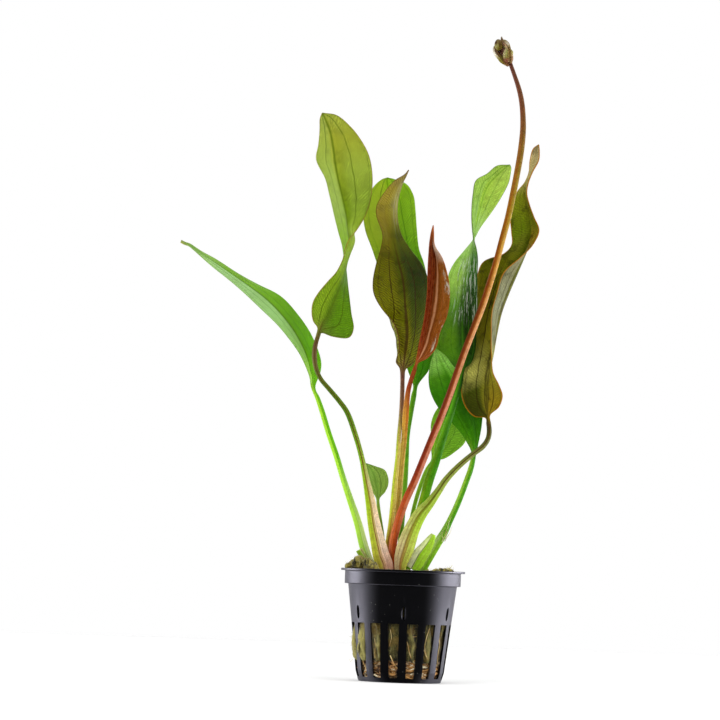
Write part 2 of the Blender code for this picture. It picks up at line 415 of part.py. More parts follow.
def curved_half(start, end, bulge, along, t):
    """Point at t on the curve between two edges of a half blade."""
    normal = unit(np.cross(end - start, along))
    control = (start + end) / 2 + normal * bulge * 2
    return start * (1 - t) ** 2 + control * 2 * t * (1 - t) + end * t * t


def sheet(rows, half):
    """Grid of points on the middle surface of a strip, half steps on each side of the midrib."""
    across = [-cos(pi * j / (2 * half)) for j in range(2 * half + 1)]
    alongs = np.gradient(rows[:, 3:6], axis=0)
    grid = []
    for row, along in zip(rows, alongs):
        left, middle, right, (_, left_bulge, right_bulge) = row[0:3], row[3:6], row[6:9], row[9:12]
        line = [curved_half(left, middle, left_bulge, along, 1 + u) if u <= 0 else
                curved_half(middle, right, right_bulge, along, u) for u in across]
        grid.append(line)
    return np.array(grid), across


def skin(name, rows, key, half=RING_HALF):
    """Closed skin round a strip: rings of an upper and a lower side that meet at the edges."""
    grid, across = sheet(rows, half)
    normals = np.cross(np.gradient(grid, axis=1), np.gradient(grid, axis=0))
    normals /= np.linalg.norm(normals, axis=2)[:, :, None]
    rise = np.array([sqrt(max(0.0, 1 - u * u)) for u in across]) / 2
    lift = normals * (rise[None, :] * rows[:, 9][:, None])[:, :, None]
    upper, lower = grid + lift, grid - lift
    count = len(across)
    ring = 2 * count - 2
    points = []
    for up, low in zip(upper, lower):
        points.extend(up)
        points.extend(low[count - 2:0:-1])
    faces = []
    for i in range(len(rows) - 1):
        for j in range(ring):
            k = (j + 1) % ring
            faces.append((i * ring + j, i * ring + k, (i + 1) * ring + k, (i + 1) * ring + j))
    for start, row in ((0, rows[0]), ((len(rows) - 1) * ring, rows[-1])):
        points.append(row[3:6])
        faces.extend((start + j, start + (j + 1) % ring, len(points) - 1) for j in range(ring))
    return add_solid(name, points, faces, key)


def turned(name, profile, segments, key, smooth=True):
    """Solid of revolution from an outline of (radius, height) that starts and ends on the axis."""
    points = [(0, 0, profile[0][1])]
    for radius, z in profile[1:-1]:
        points.extend((radius * cos(2 * pi * j / segments), radius * sin(2 * pi * j / segments), z)
                      for j in range(segments))
    points.append((0, 0, profile[-1][1]))
    faces = []
    last = len(profile) - 3
    for j in range(segments):
        k = (j + 1) % segments
        faces.append((0, 1 + k, 1 + j))
        faces.append((len(points) - 1, 1 + last * segments + j, 1 + last * segments + k))
        for i in range(last):
            base, above = 1 + i * segments, 1 + (i + 1) * segments
            faces.append((base + j, base + k, above + k, above + j))
    return add_solid(name, points, faces, key, smooth)


def outer_radius(z):
    """Radius of the pot's tapering wall."""
    if z <= BODY_LOW:
        return FOOT_RADIUS + (BODY_LOW_RADIUS - FOOT_RADIUS) * z / BODY_LOW
    if z <= SLOT_TOP:
        return BODY_LOW_RADIUS + (SLOT_TOP_RADIUS - BODY_LOW_RADIUS) * (z - BODY_LOW) / (SLOT_TOP - BODY_LOW)
    return SLOT_TOP_RADIUS + (BODY_TOP_RADIUS - SLOT_TOP_RADIUS) * (z - SLOT_TOP) / (COLLAR_FOOT - SLOT_TOP)


def inner_radius(z):
    if z > COLLAR_FOOT + WALL:
        return COLLAR_RADIUS - WALL
    return outer_radius(min(z, COLLAR_FOOT)) - WALL


def pot_outline():
    collar_top = POT_HEIGHT - FLANGE_THICK
    ledge = COLLAR_FOOT + WALL
    return [(0, 0), (FOOT_RADIUS, 0), (outer_radius(BODY_LOW), BODY_LOW), (outer_radius(SLOT_TOP), SLOT_TOP),
            (BODY_TOP_RADIUS, COLLAR_FOOT), (COLLAR_RADIUS, COLLAR_FOOT), (COLLAR_RADIUS, collar_top),
            (FLANGE_RADIUS, collar_top), (FLANGE_RADIUS, POT_HEIGHT), (COLLAR_RADIUS - WALL, POT_HEIGHT),
            (COLLAR_RADIUS - WALL, ledge), (inner_radius(COLLAR_FOOT), ledge),
            (inner_radius(SLOT_TOP), SLOT_TOP), (inner_radius(BODY_LOW), BODY_LOW),
            (inner_radius(FLOOR_THICK), FLOOR_THICK), (0, FLOOR_THICK)]


def prism(points, faces, outline, angle, start, end):
    """Add a prism that runs outward from radius start to end, its (side, z) outline upright."""
    c, s = cos(angle), sin(angle)
    first = len(points)
    for radius in (start, end):
        points.extend((radius * c - side * s, radius * s + side * c, z) for side, z in outline)
    n = len(outline)
    faces.append(tuple(first + j for j in range(n)))
    faces.append(tuple(first + n + j for j in reversed(range(n))))
    for j in range(n):
        k = (j + 1) % n
        faces.append((first + k, first + j, first + n + j, first + n + k))


def pot_openings():
    """One cutter for the slots, the slits above them and the holes in the floor."""
    points, faces = [], []
    slot = [(-SLOT_HALF_FOOT, SLOT_FOOT), (SLOT_HALF_FOOT, SLOT_FOOT),
            (SLOT_HALF_TOP, SLOT_TOP), (-SLOT_HALF_TOP, SLOT_TOP)]
    middle = (SLIT_FOOT + SLIT_TOP) / 2
    slit = [(0, SLIT_FOOT), (SLIT_HALF, middle - 1.5), (SLIT_HALF, middle + 1.5), (0, SLIT_TOP),
            (-SLIT_HALF, middle + 1.5), (-SLIT_HALF, middle - 1.5)]
    hole = [(-FLOOR_HOLE_HALF, -1), (FLOOR_HOLE_HALF, -1), (FLOOR_HOLE_HALF, 2), (-FLOOR_HOLE_HALF, 2)]
    for i in range(SLOTS):
        prism(points, faces, slot, slot_angle(i), FOOT_RADIUS - 4, FLANGE_RADIUS)
    for i in range(SLITS):
        prism(points, faces, slit, radians(FIRST_RIB_ANGLE + 360 * i / SLITS), FOOT_RADIUS, FLANGE_RADIUS)
    for i in range(FLOOR_HOLES):
        prism(points, faces, hole, 2 * pi * i / FLOOR_HOLES, FLOOR_HOLE_IN, FLOOR_HOLE_OUT - 1.5)
    cutter = add_solid("pot_openings", points, faces, "pot", smooth=False)
    cutter.hide_render = True
    cutter.display_type = "WIRE"
    return cutter


def slot_angle(i):
    return radians(FIRST_RIB_ANGLE + 360 * (i + 0.5) / SLOTS)


def make_pot():
    pot = turned("net_pot", pot_outline(), POT_SEGMENTS, "pot")
    cut = pot.modifiers.new("openings", "BOOLEAN")
    cut.operation = "DIFFERENCE"
    cut.object = pot_openings()


def plug_top(x, y):
    """Height of the plug's torn top: a shallow dish for the crown, with lumps round it."""
    r = sqrt(x * x + y * y)
    t = min(1.0, max(0.0, (r - DISH_RADIUS) / 2.5))
    height = PLUG_DISH + (PLUG_TOP - PLUG_DISH) * t * t * (3 - 2 * t)
    return height + max(rise * np.exp(-(((x - cx) ** 2 + (y - cy) ** 2) / size ** 2) ** 2)
                        for cx, cy, size, rise in LUMPS)


def plug_columns():
    """Angles of the plug's columns, and how much each swells into a slot on the bulged side."""
    half_slot = 5.2
    columns = []
    for i in range(SLOTS):
        middle = FIRST_RIB_ANGLE + 360 * (i + 0.5) / SLOTS
        swell = PLUG_BULGE if i in BULGED_SLOTS else 0.0
        columns += [(middle - 180 / SLOTS, 0.0), (middle - half_slot, 0.0), (middle, swell),
                    (middle + half_slot, 0.0)]
    return [(radians(a), swell) for a, swell in columns]


def make_plug():
    ledge = COLLAR_FOOT + WALL + GAP
    sides = [(PLUG_FOOT, 0), (13, 0.7), (19, 1), (24, 0.3), (26.5, 0), (PLUG_TOP - 0.4, 0)]
    walls = [(z, inner_radius(z) - GAP, share) for z, share in sides]
    walls[-1:-1] = [(ledge, inner_radius(COLLAR_FOOT) - GAP, 0),
                    (ledge + 0.05, COLLAR_RADIUS - WALL - GAP, 0)]
    inner = [24.0, 22.0, 19.8, 17.6, 15.5, 9.0]
    columns = plug_columns()
    n = len(columns)
    points = [(0, 0, PLUG_FOOT)]
    for z, radius, share in walls:
        points.extend(((radius + swell * share) * cos(angle), (radius + swell * share) * sin(angle), z)
                      for angle, swell in columns)
    for r in inner:
        points.extend((r * cos(a), r * sin(a), plug_top(r * cos(a), r * sin(a))) for a, _ in columns)
    points.append((0, 0, plug_top(0, 0)))
    rings = len(walls) + len(inner)
    faces = []
    for j in range(n):
        k = (j + 1) % n
        faces.append((0, 1 + k, 1 + j))
        faces.append((len(points) - 1, 1 + (rings - 1) * n + j, 1 + (rings - 1) * n + k))
        for i in range(rings - 1):
            base, above = 1 + i * n, 1 + (i + 1) * n
            faces.append((base + j, base + k, above + k, above + j))
    add_solid("rockwool_plug", points, faces, "rockwool")


def make_roots():
    middle = (ROOT_FOOT + ROOT_TOP) / 2
    outline = [(0, ROOT_FOOT), (inner_radius(ROOT_FOOT) - 1.2, ROOT_FOOT),
               (inner_radius(middle) - 0.6, middle), (inner_radius(ROOT_TOP) - 1.0, ROOT_TOP),
               (0, ROOT_TOP)]
    turned("root_mat", outline, 32, "roots")


def make_crown():
    """Low oval dome that the leaf stalks stand on."""
    segments = 24
    levels = [(1.0, 0.0), (0.97, 0.5), (0.75, 0.85), (0.4, 1.0)]
    points = [(CROWN_CENTRE[0], CROWN_CENTRE[1], CROWN_FOOT)]
    for share, height in levels:
        z = CROWN_FOOT + (CROWN_TOP - CROWN_FOOT) * height
        for j in range(segments):
            a = 2 * pi * j / segments
            points.append((CROWN_CENTRE[0] + CROWN_RADII[0] * share * cos(a),
                           CROWN_CENTRE[1] + CROWN_RADII[1] * share * sin(a), z))
    points.append((CROWN_CENTRE[0], CROWN_CENTRE[1], CROWN_TOP))
    faces = []
    last = len(levels) - 1
    for j in range(segments):
        k = (j + 1) % segments
        faces.append((0, 1 + k, 1 + j))
        faces.append((len(points) - 1, 1 + last * segments + j, 1 + last * segments + k))
        for i in range(last):
            base, above = 1 + i * segments, 1 + (i + 1) * segments
            faces.append((base + j, base + k, above + k, above + j))
    add_solid("crown", points, faces, "crown")


def make_leaves():
    for name, leaf in LEAVES.items():
        rows = np.array(stalk_rows(leaf["stalk"]) + blade_rows(leaf))
        if len(leaf["blade"]) < FEW_BLADE_ROWS:
            rows = smooth_rows(rows, len(leaf["stalk"]) - 1)
        skin(name, rows, leaf["colour"])


def make_stems():
    for name, (key, stalk) in STEMS.items():
        skin(name, np.array(stalk_rows(stalk)), key)


def bract_point(share, radius, angle):
    """Point beside the bud's axis."""
    foot, head = seen(*BUD_FOOT), seen(*BUD_HEAD)
    axis = unit(head - foot)
    side = unit(np.cross(axis, (0.0, 1.0, 0.0)))
    back = np.cross(side, axis)
    return foot + (head - foot) * share + (side * cos(angle) + back * sin(angle)) * radius


def make_bracts():
    """Bracts in a ring round the bud, each a curved scale with a pointed tip."""
    half = radians(BRACT_HALF_ANGLE)
    for i in range(BRACTS):
        middle = 2 * pi * (i + 0.25) / BRACTS
        rows = []
        for share, radius, fill in BRACT_ROWS:
            edges = [bract_point(share, radius, middle + half * fill * turn) for turn in (-1, 0, 1)]
            sag = radius * (1 - cos(half * fill / 2))
            rows.append(np.concatenate([*edges, [BRACT_THICK, sag, sag]]))
        tip_share, tip_radius = BRACT_TIP
        edges = [bract_point(tip_share, tip_radius, middle + turn * 0.1) for turn in (-1, 0, 1)]
        rows.append(np.concatenate([*edges, [BRACT_THICK * 0.7, 0, 0]]))
        skin(f"bud_bract_{i + 1}", np.array(rows), "bract")


def main():
    clear_scene()
    make_pot()
    make_plug()
    make_roots()
    make_crown()
    make_leaves()
    make_stems()
    make_bracts()


main()
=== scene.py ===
"""Potted echinodorus: detailed surfaces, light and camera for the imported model.

Lengths in the tables are millimetres, in the frame of the model: the origin is the middle of the
pot's foot, +Z up, the front faces -Y. Leaves are given by how they show from the front: x and z on
the upright plane through the pot's axis, and the depth behind it along the line of sight.
"""
import json
from math import atan2, cos, hypot, pi, radians, sin

import bmesh
import bpy
import numpy as np
from bpy.props import FloatProperty, FloatVectorProperty, IntProperty, PointerProperty
from mathutils import Matrix, Vector, noise

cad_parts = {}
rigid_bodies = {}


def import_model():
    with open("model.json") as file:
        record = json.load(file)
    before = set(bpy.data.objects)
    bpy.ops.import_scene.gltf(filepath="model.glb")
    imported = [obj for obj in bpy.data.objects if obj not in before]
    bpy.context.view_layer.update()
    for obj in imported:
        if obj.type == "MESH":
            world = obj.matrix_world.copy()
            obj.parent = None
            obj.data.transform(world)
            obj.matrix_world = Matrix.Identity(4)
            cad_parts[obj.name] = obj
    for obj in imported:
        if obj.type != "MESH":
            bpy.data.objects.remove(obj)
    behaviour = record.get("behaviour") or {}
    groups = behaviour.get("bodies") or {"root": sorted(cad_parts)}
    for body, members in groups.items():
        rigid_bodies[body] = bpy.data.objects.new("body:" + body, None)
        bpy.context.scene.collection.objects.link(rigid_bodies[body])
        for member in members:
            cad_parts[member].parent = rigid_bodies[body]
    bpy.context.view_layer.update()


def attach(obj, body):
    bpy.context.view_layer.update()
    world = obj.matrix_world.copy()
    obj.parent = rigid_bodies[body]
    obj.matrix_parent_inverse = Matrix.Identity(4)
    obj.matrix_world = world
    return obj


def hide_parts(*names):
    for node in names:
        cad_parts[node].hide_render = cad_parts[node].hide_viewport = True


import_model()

bl_info = {
    "name": "Potted Echinodorus",
    "version": (1, 0, 0),
    "blender": (4, 5, 0),
    "location": "View3D > Sidebar > Echinodorus",
    "description": "Builds a potted aquarium sword plant with its pot, roots, leaves and flower bud",
    "category": "Add Mesh",
}

MM = 0.001
VIEWPOINT = np.array([-22.6, -1500.0, 50.0])
AIM = np.array([-22.6, 0.0, 143.5])

# Pot
POT_HEIGHT = 50.0
FLANGE_RADIUS = 27.8
FLANGE_THICK = 1.0
COLLAR_RADIUS = 26.0
COLLAR_FOOT = 43.2
WALL = 1.0
BODY_TOP_RADIUS = 24.4
SLOT_TOP_RADIUS = 22.3
BODY_LOW_RADIUS = 19.8
BODY_LOW = 4.5
FOOT_RADIUS = 18.4
FLOOR_THICK = 1.2
ROUNDING = 0.3
SLOTS = 16
FIRST_RIB_ANGLE = -88.6
SLOT_FOOT = 2.0
SLOT_TOP = 26.1
SLOT_HALF_FOOT = 1.9
SLOT_HALF_TOP = 2.65
SLOT_ROUNDING = 0.5
SLITS = 6
SLIT_FOOT = 27.6
SLIT_TOP = 34.0
SLIT_HALF = 0.6
FLOOR_HOLES = 8
FLOOR_HOLE_IN = 8.0
FLOOR_HOLE_OUT = 13.5
FLOOR_HOLE_HALF = 1.6
FLOOR_HOLE_ROUNDING = 0.2
SHARP_ANGLE = 38

# Filling: the wool plug, which bulges into the slots and stands back from the slits
GAP = 0.35
PLUG_FOOT = 9.35
PLUG_TOP = 49.0
PLUG_DISH = 46.2
DISH_RADIUS = 15.5
PLUG_COLUMNS = 192
BULGES = {11: 1.6, 12: 2.6, 13: 3.4, 14: 0.9}
OTHER_BULGES = 0.45
BULGE_HALF_ANGLE = 6.4
BULGE_HEIGHTS = (PLUG_FOOT, 11, 16, 21, 26.5)
BULGE_SHARES = (0.4, 0.9, 1, 0.6, 0)
SLIT_RECESS = 3.5
WOOL_CLEARANCE = 0.1
OPEN_WOOL = PLUG_TOP + 0.3
# Layers of noise that roughen the wool, (size, height) of each, in the pot and above its rim
WOOL_FOLDS = ((3.2, 0.9), (2.4, -0.8), (0.9, 0.12))
TORN_FOLDS = ((4.0, 0.9), (3.4, -2.0), (1.6, -0.3))
# Lumps of rockwool that stand on the plug: middle (x, y, z) and radii
LUMPS = [
    (-20.6, -7, 50.6, 3.6, 4.4, 3.4), (-17.4, -9.6, 51.2, 3.8, 4, 3.3), (-14.6, -12.2, 50.6, 2.6, 3.4, 3.4),
    (-23.6, -6, 50.9, 1.6, 3, 1), (-19.4, -10.6, 52.6, 3.2, 2, 1.9), (-16.4, -12.4, 52.8, 2.4, 1.8, 1.7),
    (-12.6, -13.4, 50.2, 1.4, 2, 1.6), (-20.8, -8.2, 48.8, 2, 2.6, 2.2), (17.5, -9, 49.4, 1.9, 2.4, 1.9),
    (20.4, -7, 49.6, 1.6, 1.8, 1.2), (14.4, -13.8, 48.9, 1.8, 1.6, 1), (3, -15.5, 48.6, 2.6, 1.8, 1.3),
    (9, -17.5, 48.8, 2, 1.6, 0.9), (-5, -17, 48.7, 2.4, 1.6, 1), (10, 18, 49.4, 4, 3, 2),
    (-9, 19, 49.6, 4.5, 2.8, 2.2), (20, 8, 48.9, 2.4, 3, 1.4), (-20.5, 8.5, 49, 2, 3.4, 1.6)]
# Roots that cross the slots: (angle in degrees, radius, z) along each, and its radii at both ends
STRAY_ROOTS = [
    (((-82.5, 19.6, 18.5), (-80, 19.9, 14.5), (-77, 19.6, 11.5), (-71, 19.2, 9)), 0.22, 0.16),
    (((-104, 19.4, 12), (-101, 19.8, 10), (-97, 19.4, 7.5), (-92, 18.9, 6)), 0.28, 0.2),
    (((-54, 20.9, 24.5), (-58, 20.9, 20.5), (-60, 20.6, 16.5), (-56, 20, 13)), 0.16, 0.1),
    (((-62, 19.9, 17), (-58, 20.2, 13.5), (-52, 19.7, 10.5)), 0.2, 0.14),
    (((-127, 20.3, 22), (-124, 20.4, 16), (-126, 19.9, 10.5)), 0.14, 0.12),
    (((-37, 20.6, 22), (-34, 20.7, 17.5), (-36, 20.2, 12), (-31, 19.4, 8)), 0.2, 0.14),
    (((-150, 19.8, 11.5), (-147, 19.7, 8.5), (-141, 19, 5)), 0.3, 0.2),
    (((-104, 20.9, 23.5), (-102, 20.8, 20), (-105, 20.4, 16)), 0.13, 0.1),
    (((-79, 20.4, 22), (-76, 20.7, 20.5), (-71, 20.6, 20.8)), 0.13, 0.1),
    (((20, 20.2, 18), (23, 20, 12.5), (18, 19.4, 8)), 0.2, 0.14),
    (((60, 20.6, 20), (56, 20.2, 14), (61, 19.4, 8)), 0.2, 0.14),
    (((104, 20.4, 19), (101, 20, 12), (106, 19.2, 7.5)), 0.22, 0.14),
    (((150, 20.4, 18), (154, 19.9, 12), (149, 19.2, 7)), 0.2, 0.14)]
# Shreds by the leaf bases: (x, z, depth) along each as seen from the front, and its two radii
SHREDS = [
    (((18.6, 64.4, 5), (18.2, 66.8, 4.4), (19.2, 69.2, 4), (20.2, 73, 3.6), (20.9, 74.6, 3.6)), 0.13, 0.05),
    (((18.6, 66, 5), (19.6, 68, 4), (20, 71.4, 4.2)), 0.1, 0.04),
    (((17, 63.2, 4.4), (17.6, 64.8, 3.9), (18.8, 66.6, 3.8), (19, 68.2, 3.8)), 0.22, 0.06),
    (((18.2, 63.4, 4.4), (19.2, 65.4, 4), (20.4, 67, 4), (21.4, 70.6, 4.6)), 0.24, 0.05),
    (((17.4, 64.6, 4.6), (16.8, 66.4, 4.4), (17.6, 68.2, 4.4)), 0.12, 0.04),
    (((18.2, 50.6, -8), (20, 51.3, -8), (21.2, 51.6, -8), (22, 52.9, -8)), 0.42, 0.07),
    (((19.8, 50.6, -8.4), (21, 51, -8.4), (22.6, 50.9, -8.4)), 0.36, 0.1),
    (((-21, 9.5, -13.5), (-22.2, 8, -13), (-22.8, 9.6, -12)), 0.12, 0.05)]
WOOL_STRAND = 1.5
WOOL_STRAND_RADIUS = 0.035
ROOT_SHAPES = 8
ROOT_COIL_RADIUS = 17.0
ROOT_LENGTHS = (10, 26)
ROOT_RADII = (0.22, 0.42)
ROOT_ZONE = {"Foot": 2.2 * MM, "Top": 9.2 * MM, "Inner": 14.5 * MM, "Outer": 18.3 * MM}
ROOT_FLOOR = 1.4
ROOT_REACH = 0.55
CROWN_CENTRE = (-2.4, 1.8)
CROWN_RADII = (12.2, 7.8)
CROWN_FOOT = 46.55
CROWN_TOP = 48.35

